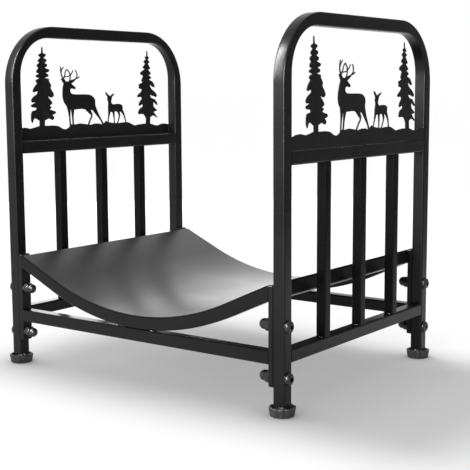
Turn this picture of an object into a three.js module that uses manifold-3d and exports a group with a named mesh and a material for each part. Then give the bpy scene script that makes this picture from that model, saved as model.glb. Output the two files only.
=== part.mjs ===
// Log holder: two bent-tube end frames, each with a laser-cut forest scene, joined by a bolted cradle
// that carries a curved trough plate, on four levelling feet.
// Millimetres, +Z up. The origin is on the floor under the middle of the rack. +X runs towards the
// right end frame and +Y towards the rear.

import * as THREE from "three";
import { mergeVertices } from "three/addons/utils/BufferGeometryUtils.js";
import Module from "manifold-3d";

const wasm = await Module();
wasm.setup();

// Overall sizes
const rackWidth = 420; // between the outer faces of the two end frames
const rackDepth = 330; // from the front faces of the legs to the rear ones
const rackHeight = 427; // from the floor to the top of the hoops

// Square tube of the hoops, the rails and the cradle
const tube = 15;
const tubeWall = 1.5;
const tubeCorner = 1.5;

// A hoop's bends: pressed on the inside, so that the tube is narrower in the bend
const bendOuter = 75;
const bendInner = 49;

// Rails and upright bars of an end frame
const windowHeight = 130; // from the mid rail up to the inside of the hoop
const bottomRailUnderside = 57;
const bar = 12;
const barWall = 1.2;
const barCorner = 1;
const barPitch = 78;
const barsPerFrame = 3;

// Laser-cut scene panel
const panelThickness = 1;
const panelSetback = 0.3; // from the outer face of the end frame
const groundDepth = 18; // from the mid rail up to the ground line
const stagHeight = 76;
const stagPlace = -30;
const stagLean = 5; // how far the antlers stand outwards of the sheet
const fawnHeight = 42;
const fawnPlace = 36;
const fawnLean = 1.6;
const pineHeight = 101;
const frontPinePlace = -103.5;
const rearPinePlace = 102.6;
const pineLean = -3.4; // the tips stand inwards of the sheet

// Cradle: straight rails, bent tubes, cross rails, straps and the trough plate
const cradleRailUnderside = 55;
const troughRadius = 312; // upper face of the plate
const troughAngle = THREE.MathUtils.degToRad(24.5); // from the middle to where the straight ends start
const plateEndGap = 3; // along X, from the ends of the plate to the straps
const plateThickness = 1;
const plateSetback = 0.5; // from the front and rear faces of the bent tubes
const plateSeatGap = 0.05;
const crossRailGap = 0.3; // under the plate
const strapThickness = 6;
const strapWidth = 15;
const strapUnderside = 30.5;
const strapTop = 141.5;
const strapCorner = 2.5;
const strapEdge = 1.2;

// Button-head bolts and dome nuts
const lowerBoltHeight = 41;
const upperBoltHeight = 97.5;
const boltDiameter = 8;
const boltHoleDiameter = 8.6;
const boltHeadDiameter = 14;
const boltHeadHeight = 4.4;
const boltHeadRim = 0.7;
const boltHeadCrown = 7; // flat on top of the head, round the socket
const boltReach = 8.5; // length inside the nut
const socketAcrossFlats = 5;
const socketDepth = 2.6;
const nutAcrossFlats = 13;
const nutHexHeight = 6.5;
const nutHeight = 15;
const nutDomeRadius = 6;
const nutBoreDepth = 11;
const threadClearance = 0.1;

// Levelling feet
const footHeight = 10.2;
const footBaseRadius = 13.4;
const footRimRadius = 15;
const footChamfer = 1;
const footLip = 0.8; // bevel round the top of the rim
const footLobes = 10;
const footLobeDepth = 1.1;
const footGrooveShare = 0.7; // below 1 the grooves between the lobes are narrow
const footTurn = THREE.MathUtils.degToRad(-9);
const recessRadius = 12.2; // inside the rim, round the leg
const recessDepth = 3.4;
const legClearance = 1.4; // from the rim up to the end of the leg
const studDiameter = 8;
const studTop = 31;
const studChamfer = 1;
const studSocketFloor = 3;
const studSocketGap = 0.3;
const studSocketClearance = 0.15;
const insertHeight = 14;
const insertBoreClearance = 0.1;

// Finishes, as sRGB colours
const finishes = {
  powderCoat: { color: 0x1d1d1f, roughness: 0.38, metalness: 0.35 },
  blackScrew: { color: 0x1a1a1c, roughness: 0.22, metalness: 0.75 },
  plastic: { color: 0x2b2b2d, roughness: 0.55, metalness: 0 },
  zinc: { color: 0x9a9ca0, roughness: 0.35, metalness: 1 },
};

// Counts of facets
const cornerSteps = 2;
const bendSteps = 8;
const troughSteps = 15; // odd, so that the lowest facet is level
const roundSteps = 12;
const holeSteps = 12;
const hexSides = 6;
const recessSteps = 20;
const footStepsPerLobe = 3;

const overrun = 2; // how far a cutting tool runs past what it cuts
const mergeTolerance = 1e-4; // points closer than this are one point

// Places worked out from the sizes above
const halfWidth = rackWidth / 2;
const halfDepth = rackDepth / 2;
const legY = halfDepth - tube / 2;
const frameX = halfWidth - tube / 2;
const legInnerX = halfWidth - tube;
const legInnerY = halfDepth - tube;
const strapInnerX = legInnerX - strapThickness;
const plateEndX = strapInnerX - plateEndGap;
const legEnd = footHeight + legClearance;
const midRailTop = rackHeight - tube - windowHeight;
const midRailUnderside = midRailTop - tube;
const bottomRailTop = bottomRailUnderside + tube;
const cradleRailTop = cradleRailUnderside + tube;
const groundLine = midRailTop + groundDepth;

// The bent tubes rest on the straight rails with their lowest facet
const troughStep = (2 * troughAngle) / troughSteps;
const plateUndersideRadius = troughRadius + plateThickness;
const bentTubeTopRadius = plateUndersideRadius + plateSeatGap;
const bentTubeUndersideRadius = bentTubeTopRadius + tube;
const troughCentreZ = cradleRailTop + bentTubeUndersideRadius * Math.cos(troughStep / 2);

// Solids

/** Closed solid for joining and cutting, from a geometry with its shared points merged. */
function toSolid(geometry) {
  const plain = geometry.clone();
  plain.deleteAttribute("normal");
  plain.deleteAttribute("uv");
  const merged = mergeVertices(plain.index ? plain.toNonIndexed() : plain, mergeTolerance);
  return new wasm.Manifold(
    new wasm.Mesh({
      numProp: 3,
      vertProperties: new Float32Array(merged.attributes.position.array),
      triVerts: new Uint32Array(merged.index.array),
    }),
  );
}

/** Geometry for a mesh, from a joined or cut solid. */
function toGeometry(solid) {
  const mesh = solid.asOriginal().simplify(mergeTolerance).getMesh();
  const geometry = new THREE.BufferGeometry();
  geometry.setAttribute("position", new THREE.BufferAttribute(new Float32Array(mesh.vertProperties), 3));
  geometry.setIndex(new THREE.BufferAttribute(new Uint32Array(mesh.triVerts), 1));
  const flat = geometry.toNonIndexed();
  flat.computeVertexNormals();
  return flat;
}

/** The body with every tool taken away from it. */
function cut(body, tools) {
  let solid = toSolid(body);
  for (const tool of tools) {
    solid = solid.subtract(toSolid(tool));
  }
  return toGeometry(solid);
}

/** All the pieces as one body. */
function join(pieces) {
  let solid = toSolid(pieces[0]);
  for (const piece of pieces.slice(1)) {
    solid = solid.add(toSolid(piece));
  }
  return toGeometry(solid);
}

/** The part of a body that lies inside a limit. */
function within(body, limit) {
  return toGeometry(toSolid(body).intersect(toSolid(limit)));
}

// Profiles and prisms

/** Shape through a list of [x, y] points. */
function polygon(points) {
  return new THREE.Shape(points.map(([x, y]) => new THREE.Vector2(x, y)));
}

/** Rectangle with rounded corners, centred on the origin. */
function roundedRectangle(width, height, corner) {
  const x = width / 2 - corner;
  const y = height / 2 - corner;
  const quarter = Math.PI / 2;
  return polygon([
    ...arcPoints(x, y, corner, 0, quarter, cornerSteps),
    ...arcPoints(-x, y, corner, quarter, 2 * quarter, cornerSteps),
    ...arcPoints(-x, -y, corner, 2 * quarter, 3 * quarter, cornerSteps),
    ...arcPoints(x, -y, corner, 3 * quarter, 4 * quarter, cornerSteps),
  ]);
}

/** Prism of a shape, centred on z = 0, with its edges rounded by `round`. */
function prism(shape, depth, round = 0) {
  const geometry = new THREE.ExtrudeGeometry(shape, {
    depth: depth - 2 * round,
    bevelEnabled: round > 0,
    bevelThickness: round,
    bevelSize: round,
    bevelOffset: -round,
    bevelSegments: cornerSteps,
    curveSegments: cornerSteps,
  });
  return geometry.translate(0, 0, round - depth / 2);
}

/** Straight square tube along Z, centred on the origin, open at both ends. */
function squareTube(size, wall, corner, length) {
  const bore = size - 2 * wall;
  const outside = prism(roundedRectangle(size, size, corner), length);
  return cut(outside, [new THREE.BoxGeometry(bore, bore, length + 2 * overrun)]);
}

// A prism stands along Z. These turn it to lie along X, with its shape in the YZ plane, or along Y,
// with its shape in the XZ plane.
const alongX = new THREE.Matrix4().makeBasis(
  new THREE.Vector3(0, 1, 0),
  new THREE.Vector3(0, 0, 1),
  new THREE.Vector3(1, 0, 0),
);
const alongY = new THREE.Matrix4().makeBasis(
  new THREE.Vector3(1, 0, 0),
  new THREE.Vector3(0, 0, 1),
  new THREE.Vector3(0, -1, 0),
);

/** Round rod along Z, centred on the origin. */
function rod(diameter, length, steps = roundSteps) {
  return new THREE.CylinderGeometry(diameter / 2, diameter / 2, length, steps).rotateX(Math.PI / 2);
}

/** Hexagonal prism along Z, centred on the origin. */
function hexagon(acrossFlats, length) {
  const radius = acrossFlats / Math.sqrt(3);
  return new THREE.CylinderGeometry(radius, radius, length, hexSides).rotateX(Math.PI / 2);
}

/** Turned body about Z through a list of [radius, z] points that starts and ends on the axis. */
function turned(points) {
  const profile = points.map(([radius, z]) => new THREE.Vector2(radius, z));
  return new THREE.LatheGeometry(profile, roundSteps).rotateX(Math.PI / 2);
}

/** Points of an arc, both ends included. */
function arcPoints(centreX, centreY, radius, from, to, steps) {
  const points = [];
  for (let i = 0; i <= steps; i += 1) {
    const angle = from + ((to - from) * i) / steps;
    points.push([centreX + radius * Math.cos(angle), centreY + radius * Math.sin(angle)]);
  }
  return points;
}

// Materials and meshes

/** One named piece with its own material. */
function piece(name, geometry, finish) {
  const mesh = new THREE.Mesh(geometry, new THREE.MeshStandardMaterial(finishes[finish]));
  mesh.name = name;
  return mesh;
}

/** The same piece in a place of its own. */
function placed(mesh, x, y, z) {
  mesh.position.set(x, y, z);
  return mesh;
}

// End frames

/** Line of a hoop in the YZ plane, up one leg, over the top and down the other. */
function hoopLine(inset, radius, foot) {
  const side = halfDepth - inset;
  const top = rackHeight - inset;
  return [
    [side, foot],
    ...arcPoints(side - radius, top - radius, radius, 0, Math.PI / 2, bendSteps),
    ...arcPoints(-side + radius, top - radius, radius, Math.PI / 2, Math.PI, bendSteps),
    [-side, foot],
  ];
}

/** Band between two lines of a hoop. */
function hoopBand(outerInset, innerInset, foot) {
  const outer = hoopLine(outerInset, bendOuter - outerInset, foot);
  const inner = hoopLine(innerInset, bendInner + tube - innerInset, foot);
  return polygon([...outer, ...inner.reverse()]);
}

/** Bolt hole along X through one leg. */
function legHole(y, z) {
  return rod(boltHoleDiameter, tube + 2 * overrun, holeSteps).applyMatrix4(alongX).translate(0, y, z);
}

/** Hoop of bent square tube, hollow, open at the lower ends of its legs. */
function hoop() {
  const below = legEnd - overrun - tubeCorner;
  const outside = prism(hoopBand(0, tube, below), tube, tubeCorner).applyMatrix4(alongX);
  const bore = hoopBand(tubeWall, tube - tubeWall, below - overrun);
  const cavity = prism(bore, tube - 2 * tubeWall).applyMatrix4(alongX);
  const floorCut = new THREE.BoxGeometry(tube + 2 * overrun, rackDepth + 2 * overrun, 2 * legEnd);
  const holes = [];
  for (const y of [-legY, legY]) {
    for (const z of [lowerBoltHeight, upperBoltHeight]) {
      holes.push(legHole(y, z));
    }
  }
  return cut(outside, [cavity, floorCut, ...holes]);
}

/** Threaded insert that closes the lower end of a leg. */
function legInsert() {
  const size = tube - 2 * tubeWall;
  const body = new THREE.BoxGeometry(size, size, insertHeight);
  return cut(body, [rod(studDiameter + 2 * insertBoreClearance, insertHeight + 2 * overrun)]);
}

// Scene panel: every outline lies in the YZ plane, drawn as [y, z]

/** Tapered strip along a smooth line, with a rounded tip. Widths run from the root to the tip. */
function strip(points, widths, steps) {
  const line = new THREE.SplineCurve(points.map(([x, y]) => new THREE.Vector2(x, y)));
  const left = [];
  const right = [];
  for (let i = 0; i <= steps; i += 1) {
    const t = i / steps;
    const at = line.getPoint(t);
    const along = line.getTangent(t);
    const place = t * (widths.length - 1);
    const first = Math.min(Math.floor(place), widths.length - 2);
    const half = THREE.MathUtils.lerp(widths[first], widths[first + 1], place - first) / 2;
    left.push([at.x - along.y * half, at.y + along.x * half]);
    right.push([at.x + along.y * half, at.y - along.x * half]);
    if (i === steps) {
      left.push([at.x + along.x * half, at.y + along.y * half]);
    }
  }
  return polygon([...left, ...right.reverse()]);
}

/** Closed smooth outline through a list of [y, z] points. */
function smoothOutline(points, steps) {
  const curve = new THREE.CatmullRomCurve3(
    points.map(([x, y]) => new THREE.Vector3(x, y, 0)),
    true,
    "centripetal",
  );
  return polygon(curve.getPoints(steps).slice(0, -1).map((p) => [p.x, p.y]));
}

/** Places as shares of one size, about a figure's own place on the ground line. */
function scaled(shares, size, place) {
  return shares.map(([across, up]) => [place + across * size, groundLine + up * size]);
}

/** A figure's outlines cut from the sheet and leaned out of it, in proportion to the height. */
function figure(outlines, height, lean) {
  const sheet = join(outlines.map((outline) => prism(outline, panelThickness).applyMatrix4(alongX)));
  const shear = new THREE.Matrix4().set(1, 0, lean / height, 0, 0, 1, 0, 0, 0, 0, 1, 0, 0, 0, 0, 1);
  return sheet.translate(0, 0, -groundLine).applyMatrix4(shear).translate(0, 0, groundLine);
}

// Ground line of the strip: shares of the panel's half width, and of the strip's height
const groundShares = [
  [-1, 0.8], [-0.95, 0.92], [-0.89, 0.95], [-0.83, 0.86], [-0.78, 0.92], [-0.73, 1.02], [-0.56, 1.03],
  [-0.5, 0.97], [-0.45, 0.77], [-0.41, 0.7], [-0.37, 0.82], [-0.34, 1.06], [-0.28, 1.05], [-0.23, 1.1],
  [-0.16, 1.04], [-0.1, 0.96], [-0.04, 1.05], [0.02, 1.04], [0.05, 0.96], [0.08, 1.04], [0.11, 1.22],
  [0.135, 1.12], [0.2, 1.05], [0.27, 1.01], [0.32, 1.05], [0.4, 1.07], [0.44, 0.97], [0.5, 0.78],
  [0.57, 0.85], [0.64, 0.89], [0.73, 0.87], [0.8, 0.73], [0.84, 0.7], [0.9, 0.83], [0.95, 0.83], [1, 0.76],
];

/** Ground strip that stands on the mid rail between the legs. */
function groundStrip() {
  const top = groundShares.map(([across, up]) => [across * legInnerY, midRailTop + up * groundDepth]);
  const outline = polygon([[-legInnerY, midRailTop], [legInnerY, midRailTop], ...top.reverse()]);
  return prism(outline, panelThickness).applyMatrix4(alongX);
}

// Crowns of the pines as shares of their height: tips and notches of the boughs, up the front side from
// the trunk to the spire and down the rear side
const frontPineShares = [
  [-0.047, 0.07], [-0.091, 0.095], [-0.143, 0.098], [-0.165, 0.046], [-0.187, 0.07], [-0.19, 0.143],
  [-0.177, 0.193], [-0.1, 0.211], [-0.104, 0.237], [-0.172, 0.242], [-0.19, 0.27], [-0.147, 0.289],
  [-0.11, 0.307], [-0.168, 0.302], [-0.188, 0.331], [-0.147, 0.378], [-0.088, 0.412], [-0.078, 0.447],
  [-0.142, 0.43], [-0.162, 0.446], [-0.132, 0.5], [-0.085, 0.549], [-0.106, 0.56], [-0.108, 0.586],
  [-0.045, 0.61], [-0.1, 0.622], [-0.105, 0.646], [-0.052, 0.668], [-0.095, 0.68], [-0.094, 0.704],
  [-0.063, 0.741], [-0.088, 0.758], [-0.084, 0.783], [-0.045, 0.804], [-0.07, 0.82], [-0.065, 0.843],
  [-0.025, 0.87], [-0.059, 0.889], [-0.056, 0.91], [-0.014, 0.925], [-0.008, 1], [0.008, 1],
  [0.014, 0.927], [0.063, 0.914], [0.06, 0.89], [0.025, 0.868], [0.074, 0.846], [0.072, 0.82],
  [0.042, 0.805], [0.088, 0.784], [0.083, 0.76], [0.046, 0.741], [0.12, 0.722], [0.12, 0.697],
  [0.06, 0.676], [0.108, 0.658], [0.103, 0.632], [0.042, 0.614], [0.12, 0.6], [0.118, 0.574],
  [0.158, 0.52], [0.145, 0.487], [0.182, 0.44], [0.205, 0.392], [0.162, 0.362], [0.095, 0.382],
  [0.137, 0.342], [0.178, 0.288], [0.13, 0.26], [0.167, 0.241], [0.132, 0.211], [0.227, 0.188],
  [0.24, 0.16], [0.178, 0.138], [0.21, 0.112], [0.185, 0.073], [0.122, 0.096], [0.057, 0.075],
];
const rearPineShares = [
  [-0.048, 0.06], [-0.07, 0.095], [-0.12, 0.119], [-0.185, 0.113], [-0.209, 0.14], [-0.17, 0.195],
  [-0.112, 0.22], [-0.114, 0.258], [-0.172, 0.232], [-0.195, 0.248], [-0.164, 0.298], [-0.126, 0.33],
  [-0.14, 0.358], [-0.206, 0.354], [-0.222, 0.376], [-0.146, 0.426], [-0.12, 0.463], [-0.192, 0.482],
  [-0.174, 0.51], [-0.193, 0.532], [-0.105, 0.562], [-0.128, 0.588], [-0.09, 0.655], [-0.146, 0.675],
  [-0.142, 0.707], [-0.052, 0.748], [-0.097, 0.774], [-0.04, 0.825], [-0.078, 0.852], [-0.026, 0.888],
  [-0.05, 0.918], [-0.011, 0.932], [-0.008, 1], [0.008, 1], [0.011, 0.932], [0.044, 0.908],
  [0.012, 0.88], [0.054, 0.854], [0.018, 0.826], [0.067, 0.76], [0.02, 0.74], [0.082, 0.688],
  [0.032, 0.665], [0.088, 0.628], [0.036, 0.603], [0.095, 0.58], [0.136, 0.545], [0.155, 0.496],
  [0.12, 0.497], [0.048, 0.53], [0.08, 0.475], [0.16, 0.426], [0.202, 0.377], [0.178, 0.354],
  [0.057, 0.385], [0.074, 0.345], [0.158, 0.321], [0.215, 0.248], [0.188, 0.243], [0.13, 0.287],
  [0.125, 0.218], [0.208, 0.163], [0.125, 0.142], [0.211, 0.064], [0.182, 0.064], [0.118, 0.093],
  [0.055, 0.07],
];
const pineTrunkShare = 0.045; // half width
const pineRootShare = 0.04; // how far the trunk runs down into the ground strip
const pineCrownFootShare = 0.13;
const rearPineSkewShare = 0.04; // how far the rear pine tips over to the front between foot and tip

/** A pine: its crown of boughs and its trunk. */
function pine(place, crownShares, skewShare) {
  const skewed = crownShares.map(([across, up]) => [across + skewShare * (1 / 2 - up), up]);
  const trunk = [
    [-pineTrunkShare, -pineRootShare],
    [pineTrunkShare, -pineRootShare],
    [pineTrunkShare, pineCrownFootShare],
    [-pineTrunkShare, pineCrownFootShare],
  ].map(([across, up]) => [across + skewShare / 2, up]);
  const crown = smoothOutline(scaled(skewed.reverse(), pineHeight, place), 2 * crownShares.length);
  return figure([crown, polygon(scaled(trunk, pineHeight, place))], pineHeight, pineLean);
}

// The stag looks back over its body. Shares of its height, about the middle of its feet
const stagBodyShares = [
  [-0.4, 0.7], [-0.427, 0.6], [-0.434, 0.48], [-0.405, 0.39], [-0.35, 0.33], [-0.3, 0.27], [-0.2, 0.265],
  [-0.06, 0.275], [0.05, 0.275], [0.14, 0.255], [0.24, 0.25], [0.31, 0.265], [0.36, 0.3], [0.36, 0.37],
  [0.365, 0.43], [0.32, 0.49], [0.24, 0.525], [0.1, 0.535], [-0.06, 0.535], [-0.18, 0.54], [-0.23, 0.56],
  [-0.245, 0.6], [-0.22, 0.635], [-0.16, 0.63], [-0.115, 0.625], [-0.105, 0.655], [-0.16, 0.69],
  [-0.21, 0.725], [-0.27, 0.755], [-0.34, 0.76],
];
const stagStripShares = [
  // ears
  { widths: [0.065, 0.055, 0.015], line: [[-0.35, 0.72], [-0.385, 0.76], [-0.44, 0.81]] },
  { widths: [0.065, 0.06, 0.015], line: [[-0.26, 0.73], [-0.18, 0.765], [-0.11, 0.785]] },
  // front legs
  { widths: [0.1, 0.045, 0.022, 0.028], line: [[-0.31, 0.36], [-0.3, 0.22], [-0.3, 0.12], [-0.295, -0.02]] },
  { widths: [0.12, 0.045, 0.026, 0.03], line: [[-0.21, 0.36], [-0.22, 0.2], [-0.225, 0.1], [-0.225, -0.02]] },
  // hind legs
  {
    widths: [0.15, 0.07, 0.03, 0.025, 0.034],
    line: [[0.12, 0.34], [0.21, 0.225], [0.26, 0.16], [0.2, 0.07], [0.15, -0.02]],
  },
  {
    widths: [0.13, 0.055, 0.036, 0.026, 0.038],
    line: [[0.3, 0.32], [0.4, 0.18], [0.455, 0.11], [0.5, 0.05], [0.535, -0.02]],
  },
  // antlers: a beam and its tines on each side
  { widths: [0.026, 0.022, 0.015], line: [[-0.33, 0.74], [-0.4, 0.82], [-0.437, 0.9], [-0.435, 1.01]] },
  { widths: [0.019, 0.017, 0.014], line: [[-0.432, 0.9], [-0.416, 0.96], [-0.366, 1.005]] },
  { widths: [0.02, 0.018, 0.015], line: [[-0.39, 0.8], [-0.348, 0.86], [-0.327, 0.93], [-0.287, 0.97]] },
  { widths: [0.024, 0.019, 0.015], line: [[-0.25, 0.74], [-0.217, 0.83], [-0.227, 0.91], [-0.287, 0.97]] },
  { widths: [0.018, 0.016, 0.014], line: [[-0.37, 0.84], [-0.288, 0.845], [-0.197, 0.875], [-0.142, 0.95]] },
  {
    widths: [0.026, 0.024, 0.02, 0.018, 0.015],
    line: [[-0.24, 0.76], [-0.15, 0.78], [-0.068, 0.82], [-0.043, 0.89], [-0.078, 0.955]],
  },
  { widths: [0.02, 0.018, 0.015], line: [[-0.088, 0.81], [-0.038, 0.815], [0.008, 0.845]] },
];

// The fawn stands behind the stag and looks ahead, its ears spread
const fawnBodyShares = [
  [-0.33, 0.86], [-0.345, 0.78], [-0.31, 0.72], [-0.32, 0.6], [-0.33, 0.46], [-0.28, 0.38], [-0.1, 0.385],
  [0.08, 0.39], [0.24, 0.375], [0.34, 0.4], [0.37, 0.5], [0.36, 0.58], [0.27, 0.63], [0.1, 0.645],
  [-0.08, 0.63], [-0.16, 0.67], [-0.17, 0.76], [-0.13, 0.84], [-0.17, 0.9], [-0.26, 0.92],
];
const fawnStripShares = [
  // ears
  { widths: [0.085, 0.075, 0.025], line: [[-0.27, 0.86], [-0.35, 0.95], [-0.42, 1.02]] },
  { widths: [0.085, 0.065, 0.03], line: [[-0.2, 0.85], [-0.12, 0.92], [-0.02, 0.97]] },
  // legs
  { widths: [0.12, 0.05, 0.034, 0.036], line: [[-0.27, 0.46], [-0.31, 0.26], [-0.35, 0.14], [-0.37, -0.02]] },
  { widths: [0.11, 0.05, 0.03, 0.034], line: [[-0.09, 0.46], [-0.07, 0.24], [-0.06, 0.12], [-0.06, -0.02]] },
  { widths: [0.15, 0.065, 0.036, 0.036], line: [[0.12, 0.46], [0.2, 0.3], [0.17, 0.16], [0.08, -0.02]] },
  { widths: [0.15, 0.06, 0.036, 0.036], line: [[0.27, 0.48], [0.41, 0.3], [0.47, 0.16], [0.51, -0.02]] },
];

/** An animal: a smooth body outline with strips for its limbs and head. */
function animal(bodyShares, stripShares, height, place, lean) {
  const outlines = [smoothOutline(scaled(bodyShares, height, place), 2 * bodyShares.length)];
  for (const { line, widths } of stripShares) {
    const sized = widths.map((width) => width * height);
    outlines.push(strip(scaled(line, height, place), sized, 2 * line.length - 3));
  }
  return figure(outlines, height, lean);
}

/** Whole panel for the right end frame, centred on its sheet: the outer face looks along +X. */
function scenePanel() {
  return join([
    groundStrip(),
    pine(frontPinePlace, frontPineShares, 0),
    pine(rearPinePlace, rearPineShares, rearPineSkewShare),
    animal(stagBodyShares, stagStripShares, stagHeight, stagPlace, stagLean),
    animal(fawnBodyShares, fawnStripShares, fawnHeight, fawnPlace, fawnLean),
  ]);
}

/** Mirror image of a geometry across the YZ plane, with its faces still pointing out. */
function mirroredX(geometry) {
  const mirrored = geometry.clone().scale(-1, 1, 1);
  const position = mirrored.attributes.position;
  for (let i = 0; i < position.count; i += 3) {
    const second = new THREE.Vector3().fromBufferAttribute(position, i + 1);
    const third = new THREE.Vector3().fromBufferAttribute(position, i + 2);
    position.setXYZ(i + 1, third.x, third.y, third.z);
    position.setXYZ(i + 2, second.x, second.y, second.z);
  }
  mirrored.computeVertexNormals();
  return mirrored;
}

const hoopGeometry = hoop();
const panelGeometry = scenePanel();
const insertGeometry = legInsert();

/** One end frame about its hoop's middle plane. `side` is +1 for the right end and -1 for the left. */
function endFrame(name, side) {
  const frame = new THREE.Group();
  frame.position.set(side * frameX, 0, 0);
  frame.add(piece(`${name}_hoop`, hoopGeometry.clone(), "powderCoat"));
  const railLength = rackDepth - 2 * tube;
  for (const [rail, underside] of [["mid_rail", midRailUnderside], ["bottom_rail", bottomRailUnderside]]) {
    const geometry = squareTube(tube, tubeWall, tubeCorner, railLength).applyMatrix4(alongY);
    frame.add(placed(piece(`${name}_${rail}`, geometry, "powderCoat"), 0, 0, underside + tube / 2));
  }
  // the bars are flush with the outer face
  const barX = side * (tube / 2 - bar / 2);
  const barLength = midRailUnderside - bottomRailTop;
  for (let i = 0; i < barsPerFrame; i += 1) {
    const y = (i - (barsPerFrame - 1) / 2) * barPitch;
    const upright = squareTube(bar, barWall, barCorner, barLength);
    const mesh = piece(`${name}_bar_${i + 1}`, upright, "powderCoat");
    frame.add(placed(mesh, barX, y, bottomRailTop + barLength / 2));
  }
  const sheet = side > 0 ? panelGeometry.clone() : mirroredX(panelGeometry);
  const sheetX = side * (tube / 2 - panelSetback - panelThickness / 2);
  frame.add(placed(piece(`${name}_scene_panel`, sheet, "powderCoat"), sheetX, 0, 0));
  for (const [end, y] of [["front", -legY], ["rear", legY]]) {
    const insert = piece(`${name}_${end}_leg_insert`, insertGeometry.clone(), "plastic");
    frame.add(placed(insert, 0, y, legEnd + insertHeight / 2));
  }
  return frame;
}

// Cradle

/** Line at a radius of the trough: a rolled middle with straight ends, out to +/- `reach`. */
function troughLine(radius, reach) {
  const turn = -Math.PI / 2;
  const middle = arcPoints(0, troughCentreZ, radius, turn - troughAngle, turn + troughAngle, troughSteps);
  const [endX, endZ] = middle[middle.length - 1];
  const rise = endZ + (reach - endX) * Math.tan(troughAngle);
  return [[-reach, rise], ...middle, [reach, rise]];
}

/** Band between two radii of the trough. */
function troughBand(innerRadius, outerRadius, reach) {
  return polygon([...troughLine(outerRadius, reach), ...troughLine(innerRadius, reach).reverse()]);
}

/** Square tube bent to the trough's line, hollow, cut off upright against the straps. */
function bentTube() {
  const reach = strapInnerX + tube;
  const band = troughBand(bentTubeTopRadius, bentTubeUndersideRadius, reach);
  const bore = troughBand(bentTubeTopRadius + tubeWall, bentTubeUndersideRadius - tubeWall, reach + overrun);
  const outside = prism(band, tube, tubeCorner).applyMatrix4(alongY);
  const cavity = prism(bore, tube - 2 * tubeWall).applyMatrix4(alongY);
  const limit = new THREE.BoxGeometry(2 * strapInnerX, tube + 2 * overrun, 2 * rackHeight);
  return within(cut(outside, [cavity]), limit);
}

/** Sheet over the bent tubes, a little short of their front and rear faces. */
function troughPlate() {
  const band = troughBand(troughRadius, plateUndersideRadius, plateEndX);
  return prism(band, rackDepth - 2 * plateSetback).applyMatrix4(alongY);
}

/** Flat bar with rounded corners and two bolt holes, standing along Z, its thickness along X. */
function strap() {
  const height = strapTop - strapUnderside;
  const middle = (strapTop + strapUnderside) / 2;
  const outline = roundedRectangle(strapWidth, height, strapCorner);
  const body = prism(outline, strapThickness, strapEdge).applyMatrix4(alongX);
  const hole = rod(boltHoleDiameter, strapThickness + 2 * overrun, holeSteps).applyMatrix4(alongX);
  const holes = [lowerBoltHeight, upperBoltHeight].map((z) => hole.clone().translate(0, 0, z - middle));
  return cut(body, holes);
}

/** The welded cradle, with the plate that lies on it. */
function cradle() {
  const group = new THREE.Group();
  for (const [end, y] of [["front", -legY], ["rear", legY]]) {
    group.add(placed(piece(`${end}_bent_tube`, bentTube(), "powderCoat"), 0, y, 0));
    const rail = squareTube(tube, tubeWall, tubeCorner, 2 * strapInnerX).rotateY(Math.PI / 2);
    const straight = piece(`${end}_straight_rail`, rail, "powderCoat");
    group.add(placed(straight, 0, y, cradleRailUnderside + tube / 2));
    for (const [side, sign] of [["left", -1], ["right", 1]]) {
      const bracket = piece(`${side}_${end}_strap`, strap(), "powderCoat");
      const x = sign * (legInnerX - strapThickness / 2);
      group.add(placed(bracket, x, y, (strapTop + strapUnderside) / 2));
    }
  }
  // the cross rails lie square to the straight ends, with their outer faces at the plate's ends
  const line = troughLine(plateUndersideRadius, plateEndX);
  const [endX, endZ] = line[line.length - 1];
  for (const [side, sign] of [["left", -1], ["right", 1]]) {
    const rail = squareTube(tube, tubeWall, tubeCorner, rackDepth - 2 * tube).applyMatrix4(alongY);
    rail.translate(-tube / 2, 0, -tube / 2 - crossRailGap).rotateY(-troughAngle);
    const cross = piece(`${side}_cross_rail`, rail, "powderCoat");
    cross.rotation.z = sign > 0 ? 0 : Math.PI;
    group.add(placed(cross, sign * endX, 0, endZ));
  }
  group.add(piece("trough_plate", troughPlate(), "powderCoat"));
  return group;
}

// Fasteners

/** Button-head bolt along Z: the head above z = 0 and the shank below. */
function buttonBolt() {
  const shank = tube + strapThickness + boltReach;
  const headRadius = boltHeadDiameter / 2;
  const crown = boltHeadCrown / 2;
  // the side of the head is an arc from the rim up to the flat crown
  const side = [];
  for (let i = 0; i <= cornerSteps; i += 1) {
    const angle = ((Math.PI / 2) * i) / cornerSteps;
    side.push([
      crown + (headRadius - crown) * Math.cos(angle),
      boltHeadRim + (boltHeadHeight - boltHeadRim) * Math.sin(angle),
    ]);
  }
  const radius = boltDiameter / 2;
  const below = [[0, -shank], [radius, -shank], [radius, 0], [headRadius, 0]];
  const body = turned([...below, ...side, [0, boltHeadHeight]]);
  const socket = hexagon(socketAcrossFlats, 2 * socketDepth).translate(0, 0, boltHeadHeight);
  return cut(body, [socket]);
}

/** Dome nut along Z, open at z = 0, its dome away from it. */
function domeNut() {
  const hex = hexagon(nutAcrossFlats, nutHexHeight).translate(0, 0, nutHexHeight / 2);
  const domeFoot = nutHeight - nutDomeRadius;
  const domeSteps = cornerSteps + 1;
  const dome = [];
  for (let i = 0; i <= domeSteps; i += 1) {
    const angle = ((Math.PI / 2) * i) / domeSteps;
    dome.push([nutDomeRadius * Math.cos(angle), domeFoot + nutDomeRadius * Math.sin(angle)]);
  }
  dome[domeSteps] = [0, nutHeight];
  const cap = turned([[0, nutHexHeight / 2], [nutDomeRadius, nutHexHeight / 2], ...dome]);
  const bore = rod(boltDiameter + 2 * threadClearance, 2 * nutBoreDepth);
  return cut(join([hex, cap]), [bore]);
}

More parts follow.
